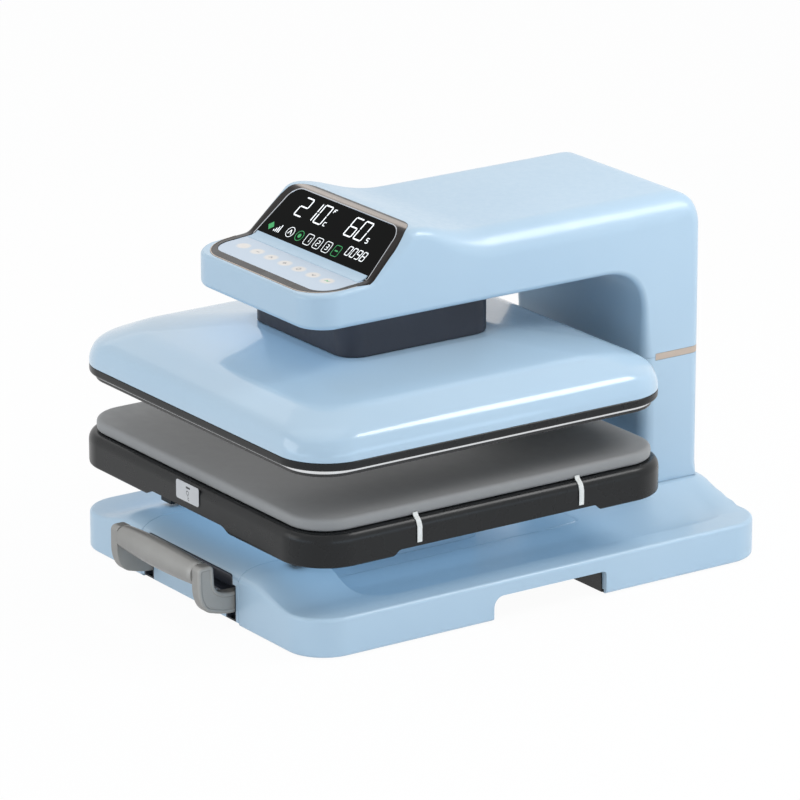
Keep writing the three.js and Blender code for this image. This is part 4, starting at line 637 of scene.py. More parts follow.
def arm_pieces():
    arm = arm_form()
    column, bezel, trim = copy_of(arm), copy_of(arm), copy_of(arm)
    line = arm_form(EDGE_LINE_GROWTH)
    parting = (STRIPE_BOTTOM + STRIPE_TOP) / 2
    underside = Plate(2 * UNDERSIDE_HALF, UNDERSIDE_REAR - UNDERSIDE_FRONT, UNDERSIDE_CORNER,
                      (UNDERSIDE_FRONT + UNDERSIDE_REAR) / 2)
    opening = prism(underside.points(-FIT, 16), ARM_BOTTOM - 5, ARM_BOTTOM + 30)
    mouth = prism(collar_plate.points(-1), ARM_BOTTOM - 5, 297)
    window = Plate(WINDOW_WIDTH + 2 * FIT, WINDOW_HEIGHT + 2 * FIT, WINDOW_CORNER, WINDOW_Z)
    rear_opening = prism(window.points(0, 8), COLUMN_REAR - 30, COLUMN_REAR + 5, along_y)
    carve(arm, "DIFFERENCE", opening, mouth, panel_band(BEZEL_THICKNESS, 1.3), stripe_room(STRIPE_DEPTH + FIT, FIT))
    carve(arm, "INTERSECT", block(-FAR_X, FAR_X, -FAR_Y, FAR_Y, parting + FIT / 2, FAR_Z))
    carve(column, "DIFFERENCE", stripe_room(STRIPE_DEPTH + FIT, FIT), rear_opening)
    carve(column, "INTERSECT", block(-FAR_X, FAR_X, 0, FAR_Y, HUMP_TOP + FIT, parting - FIT / 2))
    carve(trim, "INTERSECT", stripe_room(STRIPE_DEPTH, 0))
    behind = block(-FAR_X, FAR_X, KINK - 3, FAR_Y, 0, FAR_Z)
    wide = carve(panel_band(BEZEL_THICKNESS, 1.0), "INTERSECT", behind)
    carve(bezel, "INTERSECT", carve(panel_band(BEZEL_THICKNESS, 0), "UNION", wide))
    glass_room = prism(glass_outline(RIM_WIDTH + 0.1), -12, 8, on_display)
    carve(bezel, "DIFFERENCE", glass_room, prism(strip_outline(0.2), -10, 8, on_strip))
    carve(line, "INTERSECT", panel_band(BEZEL_THICKNESS, 1.1))
    carve(line, "INTERSECT", block(-FAR_X, FAR_X, -FAR_Y, KINK - 3 - FIT, 0, FAR_Z))
    carve(line, "DIFFERENCE", panel_band(BEZEL_THICKNESS + 2, 0.15))
    finish_piece(arm, "arm_moulding", "frame", "housing", "blue_housing", "arm_shell")
    finish_piece(column, "column_moulding", "frame", "housing", "blue_housing", "column_shell")
    finish_piece(trim, "champagne_band", "frame", "champagne", "champagne_trim", "trim_band")
    finish_piece(bezel, "panel_frame", "frame", "gunmetal", "bezel_metal", "panel_bezel")
    finish_piece(line, "panel_edge_line", "frame", "champagne", "champagne_trim")


# Display and touch strip


SEGMENTS = {
    "0": "abcdef", "1": "bc", "2": "abged", "3": "abgcd", "6": "afgedc", "8": "abcdefg", "9": "abcdfg",
}


def bar(start, end, width, chamfer=0.5):
    """A stroke with pointed ends between two points of a flat drawing."""
    start, end = np.array(start, float), np.array(end, float)
    ahead = (end - start) / np.linalg.norm(end - start)
    aside = np.array((-ahead[1], ahead[0])) * width / 2
    tip = ahead * width * chamfer
    return [start, start + tip - aside, end - tip - aside, end, end - tip + aside, start + tip + aside]


def digit(symbol, left, bottom, width, height, stroke, slant=0.08):
    """Seven-segment strokes for one digit."""
    x0, x1 = left + stroke / 2, left + width - stroke / 2
    y0, y2 = bottom + stroke / 2, bottom + height - stroke / 2
    y1, gap = (y0 + y2) / 2, stroke * 0.12
    ends = {
        "a": ((x0, y2), (x1, y2)), "b": ((x1, y1), (x1, y2)), "c": ((x1, y0), (x1, y1)), "d": ((x0, y0), (x1, y0)),
        "e": ((x0, y0), (x0, y1)), "f": ((x0, y1), (x0, y2)), "g": ((x0, y1), (x1, y1)),
    }
    strokes = []
    for name in SEGMENTS[symbol]:
        start, end = (np.array(point, float) for point in ends[name])
        ahead = (end - start) / np.linalg.norm(end - start) * gap
        strokes.append([(x + (y - bottom) * slant, y) for x, y in bar(start + ahead, end - ahead, stroke)])
    return strokes


def digits(text, left, bottom, width, height, pitch, stroke):
    return [s for i, symbol in enumerate(text) for s in digit(symbol, left + i * pitch, bottom, width, height, stroke)]


def poly_line(width, *points):
    return [bar(a, b, width, 0.3) for a, b in zip(points, points[1:])]


def loop_strokes(outline, width):
    """A closed band of strokes round an outline, as four-sided pieces."""
    outline = np.asarray(outline, float)
    aside = left_of_closed(outline) * width / 2
    inner, outer = outline + aside, outline - aside
    return list(np.stack((inner, outer, np.roll(outer, -1, 0), np.roll(inner, -1, 0)), 1))


def circle_strokes(x, y):
    return loop_strokes(arc((x, y), 5.2, 0, 348.75, 32), 0.6)


def square_strokes(x, y):
    return loop_strokes(Plate(11.2, 11.2, 2.4).points(0, 6) * [0.86, 1] + [x, y], 0.6)


def printed(name, strokes, place, low, high, *finish, body="frame"):
    """Flat strokes made into thin solids that lie on a surface."""
    points, faces = [], []
    for stroke in strokes:
        count, first = len(stroke), len(points)
        for depth in (low, high):
            points.extend(at_depth(stroke, depth, place))
        faces.append(tuple(range(first, first + count)))
        faces.append(tuple(range(first + count, first + 2 * count)))
        for i in range(count):
            j = (i + 1) % count
            faces.append((first + i, first + j, first + count + j, first + count + i))
    finish_piece(mesh_object(points, faces), name, body, *finish)


def display_pieces():
    glass = edged_plate(glass_outline, on_display, -2.4, -0.4, 0.25)
    finish_piece(glass, "display_window", "frame", "display_black", "display_black", "display_glass")
    levels = [(0.15, -2.0), (RIM_WIDTH, -2.0), (RIM_WIDTH, -0.3), (0.95, 0.05), (0.4, 0.05), (0.15, -0.3)]
    rim = built_up(glass_outline, levels, on_display, closed=True)
    finish_piece(rim, "display_rim", "frame", "bright_rim", "bezel_metal")
    white = digits("210", -60, 31.2, 12.6, 21, 15.2, 1.35)
    white += digits("60", 19, 31.2, 12.6, 21, 15.2, 1.35)
    white += digits("0098", 39, 14.4, 5.9, 10.2, 7.6, 0.85)
    white += poly_line(0.8, (-8.6, 50.6), (-12.2, 50.6), (-12.2, 46.8)) + poly_line(0.8, (-12.2, 48.9), (-9.6, 48.9))
    white += poly_line(0.8, (-10.4, 35.9), (-13.6, 35.9), (-13.6, 32.2), (-10.4, 32.2))
    white += poly_line(0.9, (56.2, 37.2), (53, 37.2), (53, 34.8), (56.2, 34.8), (56.2, 32.2), (53, 32.2))
    for i in range(4):
        left, top = -69.4 + 2.5 * i, 12 + 2.1 * i
        white.append([(left, 10), (left + 1.1, 10), (left + 1.1, top), (left, top)])
    white += circle_strokes(-46.25, 15) + poly_line(0.9, (-48.6, 12.8), (-46.25, 17.6), (-43.9, 12.8))
    for i, symbol in enumerate("123"):
        x = -16.75 + 14.67 * i
        white += square_strokes(x, 15) + digit(symbol, x - 2.1, 12, 3.8, 6, 0.75)
    printed("display_figures", white, on_display, -0.42, -0.3, "lit_white", "display_black")
    green = circle_strokes(-31.5, 15) + [arc((-31.5, 15), 2.2, 0, 337.5, 16)]
    green += square_strokes(27.25, 15) + [[(24.9, 14.3), (29.6, 14.3), (29.6, 15.7), (24.9, 15.7)]]
    green += [[(-76, 9.6), (-71.6, 14), (-76, 18.4), (-80.4, 14)]]
    printed("display_status", green, on_display, -0.42, -0.3, "lit_green", "display_black")


def strip_pieces():
    film = edged_plate(strip_outline, on_strip, -2.6, -0.4, 0.3)
    finish_piece(film, "touch_film", "frame", "touch_film", "touch_film", "touch_strip")
    cove = [(-7.4, -0.38), (-6.9, 0.0), (-3.2, 0.2), (-2.4, 0.75), (0.6, 1.2), (3.4, 3.1), (3.8, 2.2), (3.8, -0.38)]
    v, depth = np.array(cove).T
    profile = on_strip(np.zeros(len(v)), v, depth)
    cove_bar = loft([profile + [x, 0, 0] for x in np.linspace(-87.6, 87.6, 9)])
    finish_piece(cove_bar, "strip_cove", "frame", "housing", "blue_housing")
    v = SPOT_V
    minus, down, plus, ring, up, start = SPOT_PLACES[1:]
    grey = poly_line(0.8, (minus - 2.4, v), (minus + 2.4, v))
    grey += poly_line(0.8, (down - 2.2, v - 1.4), (down, v + 1.4), (down + 2.2, v - 1.4))
    grey += poly_line(0.8, (plus - 2.4, v), (plus + 2.4, v)) + poly_line(0.8, (plus, v - 2.2), (plus, v + 2.2))
    grey += loop_strokes(arc((ring, v), 2.1, 0, 340, 18), 0.7)
    grey += poly_line(0.8, (up - 2.2, v + 1.4), (up, v - 1.4), (up + 2.2, v + 1.4))
    printed("touch_symbols", grey, on_strip, -0.42, -0.36, "print_grey", "touch_film")
    wave = poly_line(0.9, (start - 3, v - 1.2), (start - 1, v + 1.3), (start + 1, v - 1.2), (start + 3, v + 1.3))
    printed("start_symbol", wave, on_strip, -0.42, -0.36, "print_green", "touch_film")


# Hot head


cover_plate = Plate(COVER_SIDE, COVER_SIDE, COVER_CORNER, PLATEN_Y, taper=0.15)
platen_plate = Plate(PLATEN_SIDE, PLATEN_SIDE, PLATEN_CORNER, PLATEN_Y)
collar_plate = Plate(COLLAR_SIDE, COLLAR_SIDE, COLLAR_CORNER, PLATEN_Y)

COVER_LEVELS = [
    (0, 183.5), (1.2, 190), (4.5, 197.5), (11, 202.6), (20, 207), (34, 213.6), (50, 216.4),
    (85.5, 221.6), (103.5, 224.4), (109.5, 225),
]


def head_pieces():
    levels = [(inset + COVER_WALL, height - COVER_WALL) for inset, height in reversed(COVER_LEVELS)]
    levels += [(COVER_WALL, SEAM_HEIGHT), (0.35, SEAM_HEIGHT), (0, 178.9), *rounded_levels(COVER_LEVELS, 3)]
    cover = loft(cover_plate.rings(levels, 24, (24, 24)))
    spread = (-PILLAR_SPREAD, PILLAR_SPREAD)
    rods = [(0, 0, SCREW_HOLE)] + [(x, y, PILLAR_RADIUS + FIT) for x in spread for y in spread]
    carve(cover, "DIFFERENCE", *(prism(arc((x, PLATEN_Y + y), r, 0, 345, 24), 205, 230) for x, y, r in rods))
    finish_piece(cover, "press_cover", "press_head", "housing_gloss", "blue_housing", "cover_shell")
    sides = [(1.5, 170.8), (0.7, 171.2), (0.2, 172), (0, 173.2), (0, 177.7), (0.4, 178.2)]
    inside = [(-BAND_GAP, 178.2), (-BAND_GAP, 171.2), (-BAND_GAP - 0.6, 170.8)]
    band = loft(cover_plate.rings(sides, 20) + platen_plate.rings(inside, 20), closed=True)
    finish_piece(band, "cover_rim", "press_head", "charcoal", "charcoal_plastic", "cover_band")
    levels = [(1.4, 164), (0.5, 164.3), (0.1, 164.9), (0, 165.8), (0, 173.5), (1, 174.5)]
    finish_piece(loft(platen_plate.rings(levels, 20)), "hot_plate", "press_head", "hot_plate", "bare_aluminium",
                 "heat_plate")
    levels = [(1.2, 225.3), (0.4, 225.6), (0, 226.4), (0, 293.4), (0.6, 294), (COLLAR_WALL, 294), (COLLAR_WALL, 225.3)]
    collar = loft(collar_plate.rings(levels, 16), closed=True)
    finish_piece(collar, "lift_collar", "press_head", "slate", "slate_plastic", "collar")


# Lower platen


def arch_outline(half, step, middle):
    right = curve(12, (half, TRAY_RAISED), (half + step / 2, TRAY_RAISED), (half + step / 2, TRAY_BOTTOM),
                  (half + step, TRAY_BOTTOM))
    right = np.vstack((right, [(half + step, TRAY_BOTTOM), (half + step, TRAY_BOTTOM - 3)]))
    return np.vstack((right, right[::-1] * [-1, 1])) + [middle, 0]


def platen_pieces():
    tray_plate = Plate(TRAY_SIDE, TRAY_SIDE, TRAY_CORNER, PLATEN_Y)
    levels = [(2, TRAY_BOTTOM), (1, 83.8), (0.3, 84.6), (0, 86.5)]
    levels += [(TRAY_SHOULDER * (1 - math.cos(a)), TRAY_TOP - TRAY_SHOULDER_DROP * (1 - math.sin(a)))
               for a in quarter(11)]
    tray = loft(tray_plate.rings(levels, 20))
    hollow = prism(tray_plate.points(TRAY_WALL), TRAY_BOTTOM - 1, TRAY_TOP - TRAY_TOP_THICKNESS)
    front = prism(arch_outline(54, 19, 0), -280, 200, along_y)
    side = prism(arch_outline(103, 11, PLATEN_Y), -220, 220, along_x)
    carve(tray, "DIFFERENCE", hollow, front, side)
    finish_piece(tray, "platen_tray", "drawer", "charcoal", "charcoal_plastic", "tray")
    levels = [
        (2.6, 114.5), (1.4, 114.9), (0.4, 116), (0, 118), (0, 121.6), (0.5, 123.6), (1.8, 125), (3.6, 125.7),
        (6, 126), (12, 126.2), (24, 126.35), (50, 126.45), (90, 126.5),
    ]
    cushion = loft(platen_plate.rings(rounded_levels(levels, 2), 20, (30, 30)))
    finish_piece(cushion, "press_pad", "drawer", "silicone", "silicone_pad", "pad", crease=60)


def straps():
    """Each strap comes out of the pad's gap and goes over the shoulder and down the tray's side."""
    half = TRAY_SIDE / 2
    path = np.vstack((
        curve(8, (half - 6.9, 117.8), (half - 6.4, 114.9), (half - 3.6, 113.2)),
        curve(8, (half - 3.6, 113.2), (half + 0.4, 110.6), (half + 0.6, 104)),
        [(half + 0.6, 100), (half + 0.5, 92.6)],
    ))
    outer = path + left_of(np.gradient(path, axis=0)) * STRAP_THICKNESS
    flat = np.vstack((path, outer[::-1]))
    for side, name in SIDES:
        for y, end in zip(STRAP_PLACES, ("front", "rear")):
            levels = [(inset, y + across * STRAP_WIDTH) for across, inset in
                      ((-0.5, 0.12), (-0.44, 0), (0.44, 0), (0.5, 0.12))]
            strap = built_up(lambda inset: shrunk(flat, inset) * [side, 1], levels, along_y)
            finish_piece(strap, f"elastic_{name}_{end}", "drawer", "elastic", "white_elastic", f"strap_{name}_{end}")


def latch_marks():
    """A slot and a plain key-like line on the latch plate."""
    marks = [[(1, 108.4), (7.6, 108.4), (7.6, 110.2), (1, 110.2)]]
    marks += loop_strokes(arc((3.4, 104.4), 1.9, 0, 337.5, 16), 0.6)
    marks += poly_line(0.6, (4.2, 102.6), (4.2, 98), (6, 98)) + poly_line(0.6, (4.2, 100), (5.6, 100))
    printed("latch_marks", marks, along_y, -253.12, -253.02, "black_plastic", "label_grey", body="drawer")


# Node trees


def linear(code):
    """A colour written as six hex digits, as the linear values that a shader takes."""
    values = [int(code[i:i + 2], 16) / 255 for i in (0, 2, 4)]
    return (*(v / 12.92 if v <= 0.04045 else ((v + 0.055) / 1.055) ** 2.4 for v in values), 1.0)


class Tree:
    """A node tree with short ways to add nodes; an input is a value or another node's output."""

    def __init__(self, tree):
        self.tree, self.nodes, self.links = tree, tree.nodes, tree.links

    def give(self, socket, value):
        if isinstance(value, bpy.types.NodeSocket):
            self.links.new(value, socket)
        else:
            socket.default_value = value

    def add(self, kind, inputs=None, **settings):
        """Adds a node and returns its outputs."""
        node = self.nodes.new(kind)
        for key, value in settings.items():
            setattr(node, key, value)
        for key, value in (inputs or {}).items():
            self.give(node.inputs[key], value)
        return node.outputs

    def maths(self, operation, *values):
        return self.add("ShaderNodeMath", dict(enumerate(values)), operation=operation)[0]

    def parts(self, vector):
        return self.add("ShaderNodeSeparateXYZ", {0: vector})

    def ramp(self, source, low=0.0, high=1.0, start=0.35, end=0.65):
        sizes = {"From Min": start, "From Max": end, "To Min": low, "To Max": high}
        return self.add("ShaderNodeMapRange", {"Value": source, **sizes})["Result"]

    def mix(self, factor, *colours):
        """Fades one colour into another; a colour is six hex digits, four values or an output."""
        node = self.nodes.new("ShaderNodeMix")
        node.data_type = "RGBA"
        sockets = {socket.identifier: socket for socket in (*node.inputs, *node.outputs)}
        self.give(sockets["Factor_Float"], factor)
        for side, colour in zip("AB", colours):
            self.give(sockets[side + "_Color"], linear(colour) if isinstance(colour, str) else colour)
        return sockets["Result_Color"]


class ShapeTree(Tree):
    """A Geometry Nodes tree that takes and gives a mesh, with further inputs by name."""

    def __init__(self, name, inputs):
        super().__init__(bpy.data.node_groups.new(name, "GeometryNodeTree"))
        self.tree.interface.new_socket("Geometry", in_out="OUTPUT", socket_type="NodeSocketGeometry")
        for key, kind in {"Geometry": "Geometry", **inputs}.items():
            self.tree.interface.new_socket(key, in_out="INPUT", socket_type="NodeSocket" + kind)
        self.given = self.add("NodeGroupInput")

    def end(self, geometry, material):
        real = self.add("GeometryNodeRealizeInstances", {0: geometry})[0]
        paint = self.add("GeometryNodeSetMaterial", {"Geometry": real, "Material": MATERIALS[material]})[0]
        self.links.new(paint, self.nodes.new("NodeGroupOutput").inputs[0])

    def run(self, values, points=()):
        """Runs the tree on a mesh of loose points and keeps the result as a plain mesh."""
        mesh = bpy.data.meshes.new("piece")
        mesh.from_pydata(points, [], [])
        thing = link("piece", mesh)
        modifier = thing.modifiers.new("shape", "NODES")
        modifier.node_group = self.tree
        for item in self.tree.interface.items_tree:
            if item.in_out == "INPUT" and item.name in values:
                modifier[item.identifier] = values[item.name]
        apply_modifiers(thing)
        turn_outwards(thing)
        return thing


# Handle


def grip_piece():
    """The grip as a tube swept along its axis, thickest in the middle."""
    sizes = {
        "Half length": (HANDLE_HALF - LEG_WIDTH - FIT) * MM, "End radius": GRIP_END * MM,
        "Middle radius": GRIP_MIDDLE * MM, "Axis Y": (GRIP_Y + BASE_SETBACK) * MM, "Axis Z": GRIP_Z * MM,
    }
    tree = ShapeTree("swept_grip", dict.fromkeys(sizes, "Float"))
    maths = tree.maths
    half, least, most, y, z = (tree.given[name] for name in sizes)
    start, end = (tree.add("ShaderNodeCombineXYZ", {0: x, 1: y, 2: z})[0] for x in (maths("MULTIPLY", half, -1), half))
    axis = tree.add("GeometryNodeCurvePrimitiveLine", {"Start": start, "End": end})[0]
    steps = tree.add("GeometryNodeResampleCurve", {"Curve": axis, "Count": 49})[0]
    share = maths("DIVIDE", tree.parts(tree.add("GeometryNodeInputPosition")[0])[0], half)
    swell = maths("SUBTRACT", 1, maths("MULTIPLY", share, share))
    body = maths("ADD", least, maths("MULTIPLY", maths("SUBTRACT", most, least), swell))
    rounding = maths("MULTIPLY", maths("POWER", maths("ABSOLUTE", share), 60), 0.1)
    radius = maths("MULTIPLY", body, maths("SUBTRACT", 1, rounding))
    ring = tree.add("GeometryNodeCurvePrimitiveCircle", {"Resolution": 48, "Radius": 1})[0]
    sweep = {"Curve": steps, "Profile Curve": ring, "Scale": radius, "Fill Caps": True}
    tree.end(tree.add("GeometryNodeCurveToMesh", sweep)[0], "handle_plastic")
    finish_piece(tree.run(sizes), "handle_grip_bar", "handle", "handle_plastic", "handle_grey", "handle_grip")


def leg_outline():
    outer, inner, top = GRIP_Y - 8, GRIP_Y + 9, LEG_TOP
    root_top, root_low = PIVOT_Z + ROOT_RADIUS, PIVOT_Z - ROOT_RADIUS
    return np.vstack((
        arc((PIVOT_Y, PIVOT_Z), ROOT_RADIUS, -90, 90, 24),
        [(DRAWER_FRONT - 2, root_top)],
        curve(10, (DRAWER_FRONT - 3, root_top), (inner + 4, 33), (inner + 0.5, 37), (inner, 45)),
        curve(8, (inner - 0.5, top - 5), (inner - 0.5, top), (inner - 6, top)),
        curve(8, (outer + 6, top), (outer, top), (outer, top - 6)),
        curve(14, (outer, 42), (outer, 27), (outer + 6, 17.5), (outer + 15, 16)),
        curve(8, (outer + 15, 16), (DRAWER_FRONT - 10, root_low), (PIVOT_Y, root_low)),
    ))


def handle_legs():
    outline = leg_outline()
    for side, name in reversed(SIDES):
        inner, outer = side * (HANDLE_HALF - LEG_WIDTH), side * HANDLE_HALF
        levels = [(1.0, 0), (0.3, 0.3), (0, 1.0), (0, LEG_WIDTH - LEG_EDGE)]
        levels += [(LEG_EDGE * (1 - math.cos(a)), LEG_WIDTH - LEG_EDGE + LEG_EDGE * math.sin(a))
                   for a in quarter(7)[1:]]
        levels += [(3.2, LEG_WIDTH), (3.7, LEG_WIDTH - 0.25), (4.1, LEG_WIDTH - 0.8)]
        levels = [(inset, inner + side * out) for inset, out in levels]
        leg = built_up(lambda inset: shrunk(outline, inset), levels, along_x)
        hole = prism(arc((PIVOT_Y, PIVOT_Z), PIN_HOLE, 0, 345, 24), inner - side, outer + side, along_x)
        carve(leg, "DIFFERENCE", hole)
        finish_piece(leg, "handle_side_" + name, "handle", "handle_plastic", "handle_grey", "handle_leg_" + name)


# Screws


def screw_shape(radius, height, count=24):
    """A low domed head with a cross recess."""
    angles = np.arange(count) / count * 2 * math.pi
    cross = 0.62 + 0.38 * np.abs(np.cos(2 * angles)) ** 0.5
    levels = [(1, 0), (1, 0.45), (0.86, 0.8), (0.62, 1), (0.5 * cross, 1.02), (0.42 * cross, 0.35), (0.1 * cross, 0.3)]
    head = loft([np.column_stack((radius * share * np.cos(angles), radius * share * np.sin(angles) - BASE_SETBACK,
                                  np.full(count, z * height))) for share, z in levels])
    smooth(head, 40)
    return head


def screw_pieces():
    head = screw_shape(3.2, 1.4)
    tree = ShapeTree("screws_on_points", {"Turn": "Vector"})
    source = tree.add("GeometryNodeObjectInfo", {"Object": head})["Geometry"]
    stamp = {"Points": tree.given["Geometry"], "Instance": source, "Rotation": tree.given["Turn"]}
    tree.end(tree.add("GeometryNodeInstanceOnPoints", stamp)[0], "steel")
    base = [(x, y, BASE_BOTTOM + 0.02) for x in (-150, 150) for y in (-225, -120, 105, 205)]
    base += [(x, 232, BASE_BOTTOM + 0.02) for x in (-80, 80)]
    rear = [(x, COLUMN_REAR - 0.05, z) for x in (-52, 52) for z in (78, 156)]
    under = [(x, y, ARM_BOTTOM + 1.22) for x in (-84, 84) for y in (-160, 40, 110)]
    down, back = (math.pi, 0, 0), (-math.pi / 2, 0, 0)
    for name, places, turn in (("base_screws", base, down), ("rear_screws", rear, back), ("head_screws", under, down)):
        finish_piece(tree.run({"Turn": turn}, placed(places)), name, "frame", "steel", "bare_steel")
    bpy.data.objects.remove(head)


# Finishes


MATERIALS = {}


class Finish(Tree):
    """A material, and how noise changes its colour, its roughness and its surface.

    tone: the noise's scale and a second colour; polish: the noise's scale, the least and the most
    roughness; grain: the noise's scale and detail, the bump's strength and its height in metres.
    """

    def __init__(self, name, colour, roughness, tone=None, polish=None, grain=None, **settings):
        self.material = MATERIALS[name] = bpy.data.materials.new(name)
        self.material.use_nodes = True
        super().__init__(self.material.node_tree)
        self.place = self.add("ShaderNodeTexCoord")["Object"]
        self.colour = linear(colour)
        for key, value in {"Base Color": self.colour, "Roughness": roughness, **settings}.items():
            self.set(key.replace("_", " "), value)
        if tone:
            self.set("Base Color", self.cloud(tone[0], self.colour, tone[1]))
        if polish:
            scale, low, high, *stretch = polish
            self.set("Roughness", self.ramp(self.noise(scale, 4, *stretch), low, high))
        if grain:
            scale, detail, strength, height, *stretch = grain
            self.bump(self.noise(scale, detail, *stretch), strength, height)

    def set(self, socket, value):
        self.give(self.nodes["Principled BSDF"].inputs[socket], value)

    def noise(self, scale, detail, stretch=None):
        place = self.place
        if stretch:
            place = self.add("ShaderNodeMapping", {"Vector": place, "Scale": stretch})["Vector"]
        sizes = {"Scale": scale, "Detail": detail, "Roughness": 0.55}
        return self.add("ShaderNodeTexNoise", {"Vector": place, **sizes})["Fac"]

    def cloud(self, scale, first, second, detail=3):
        return self.mix(self.ramp(self.noise(scale, detail)), first, second)

    def bump(self, source, strength, height):
        bump = self.add("ShaderNodeBump", {"Strength": strength, "Distance": height, "Height": source})
        self.set("Normal", bump["Normal"])


def plain_finishes():
    Finish("housing", "ADC6D9", 0.36, (6, "B1C9DB"), (180, 0.30, 0.40), (1400, 2, 0.06, 0.0002),
           Coat_Weight=0.2, Coat_Roughness=0.14)
    Finish("housing_gloss", "ADC6D9", 0.26, (5, "B1C9DB"), (120, 0.19, 0.26), (260, 2, 0.03, 0.0002),
           Coat_Weight=0.6, Coat_Roughness=0.04, Specular_IOR_Level=0.35)
    Finish("charcoal", "18191A", 0.28, (9, "1C1D1E"), (40, 0.25, 0.31), (700, 1, 0.02, 0.0001), Specular_IOR_Level=0.26)
    Finish("slate", "2C2F38", 0.42, (12, "30333C"), (200, 0.36, 0.48), (900, 2, 0.03, 0.0002), Specular_IOR_Level=0.3)
    Finish("black_plastic", "1D1D1F", 0.5, (40, "26262A"), None, (2200, 3, 0.2, 0.0002))
    Finish("silicone", "8A8A8A", 0.6, (7, "8E8E8E"), (90, 0.56, 0.68), (900, 3, 0.06, 0.0003),
           Sheen_Weight=0.15, Sheen_Roughness=0.5)
    Finish("champagne", "C4B3A5", 0.36, (20, "BDAC9E"), (300, 0.3, 0.42), (1500, 2, 0.05, 0.0001), Metallic=0.35)
    Finish("bright_rim", "C9CCD1", 0.18, (60, "BFC3C9"), (400, 0.14, 0.24), Metallic=0.9)
    Finish("display_black", "050606", 0.08, (8, "070807"), (60, 0.06, 0.1), Specular_IOR_Level=0.04)
    for name, code, strength in (("lit_white", "F4F7F8", 0.55), ("lit_green", "2FA35A", 0.15)):
        Finish(name, code, 0.4, None, (300, 0.35, 0.45), Emission_Color=linear(code), Emission_Strength=strength)
    Finish("print_grey", "77777A", 0.5, (900, "818184"))
    Finish("print_green", "3DAE6C", 0.5, (900, "47B876"))
    Finish("aluminium", "C4C5C7", 0.3, (10, "B4B5B8"), (300, 0.24, 0.4, (1, 1, 0.1)),
           (900, 3, 0.08, 0.0001, (0.1, 1, 1)), Metallic=1)
    Finish("steel", "A9ABAE", 0.32, (40, "97999D"), (250, 0.26, 0.42), Metallic=1)
    Finish("bronze", "A8793F", 0.38, (50, "8F6636"), (300, 0.3, 0.48), Metallic=1)
    Finish("painted_steel", "2C2E31", 0.5, (15, "34363A"), None, (1200, 4, 0.25, 0.0003))
    Finish("circuit_board", "1F5A3A", 0.45, (220, "2B6E49"), None, (600, 2, 0.2, 0.0003), Coat_Weight=0.3)
    Finish("insulation", "D8D3C4", 0.9, (60, "C8C2B0"), None, (500, 6, 0.6, 0.001))
    Finish("label_grey", "C9CACC", 0.34, (30, "BFC0C3"), (500, 0.28, 0.42, (0.1, 1, 1)), Metallic=0.3)


def handle_finish():
    """Painted dark reflections: darker where the surface turns away from the eye."""
    handle = Finish("handle_plastic", "8E8D8B", 0.34, None, (160, 0.28, 0.40), (1300, 3, 0.1, 0.0002),
                    Coat_Weight=0.15, Coat_Roughness=0.2)
    facing = handle.add("ShaderNodeLayerWeight", {"Blend": 0.35})["Facing"]
    cloud = handle.cloud(30, "ABA8A3", "A4A19C")
    handle.set("Base Color", handle.mix(handle.ramp(facing, 0, 1, 0.15, 0.8), cloud, "504D4A"))


# Bounds of the painted highlight on the panel frame and of the painted shade on the hot plate
HIGHLIGHT_CREST_FADE, HIGHLIGHT_REAR_FADE, PAINTED_SHADE_EDGE = (0.322, 0.334), (-0.0495, -0.048), (0.1669, 0.1673)  # in metres


def gunmetal_finish():
    """Painted highlight: brighter on the flat top behind the display, where the room's light would catch it."""
    metal = Finish("gunmetal", "272423", 0.28, None, (60, 0.24, 0.32, (1, 0.15, 1)),
                   (700, 1, 0.015, 0.0001, (1, 0.1, 1)), Metallic=0.9)
    place = metal.parts(metal.place)
    # Painted highlight: the metal turns pale where its normal points up, above a height and in front of a depth
    painted_highlight_mask = metal.ramp(metal.parts(metal.add("ShaderNodeNewGeometry")["Normal"])[2], 0, 1, 0.94, 0.99)
    for factor in (metal.ramp(place[2], 0, 1, *HIGHLIGHT_CREST_FADE), metal.ramp(place[1], 1, 0, *HIGHLIGHT_REAR_FADE)):
        painted_highlight_mask = metal.maths("MULTIPLY", painted_highlight_mask, factor)
    metal.set("Base Color", metal.mix(painted_highlight_mask, metal.cloud(14, metal.colour, "23201F"), "A39A93"))


def hot_plate_finish():
    """Bare metal above a set height, with painted shade below it: dark and less metallic over the plate's lower side
    and face.
    """
    plate = Finish("hot_plate", "D9DADB", 0.22, None, (400, 0.2, 0.34, (1, 1, 0.1)), Metallic=1)
    height = plate.parts(plate.place)[2]
    # Painted shade: below the edge the plate turns dark and less metallic
    plate.set("Base Color", plate.mix(plate.ramp(height, 0, 1, *PAINTED_SHADE_EDGE), "202021", plate.colour))
    plate.set("Metallic", plate.ramp(height, 0.1, 1, *PAINTED_SHADE_EDGE))


def elastic_finish():
    elastic = Finish("elastic", "E9E9E6", 0.75, (120, "DCDCD8"))
    weave = {"Scale": 420, "Distortion": 0.6, "Vector": elastic.place}
    elastic.bump(elastic.add("ShaderNodeTexWave", weave, bands_direction="Z")["Fac"], 0.5, 0.0003)


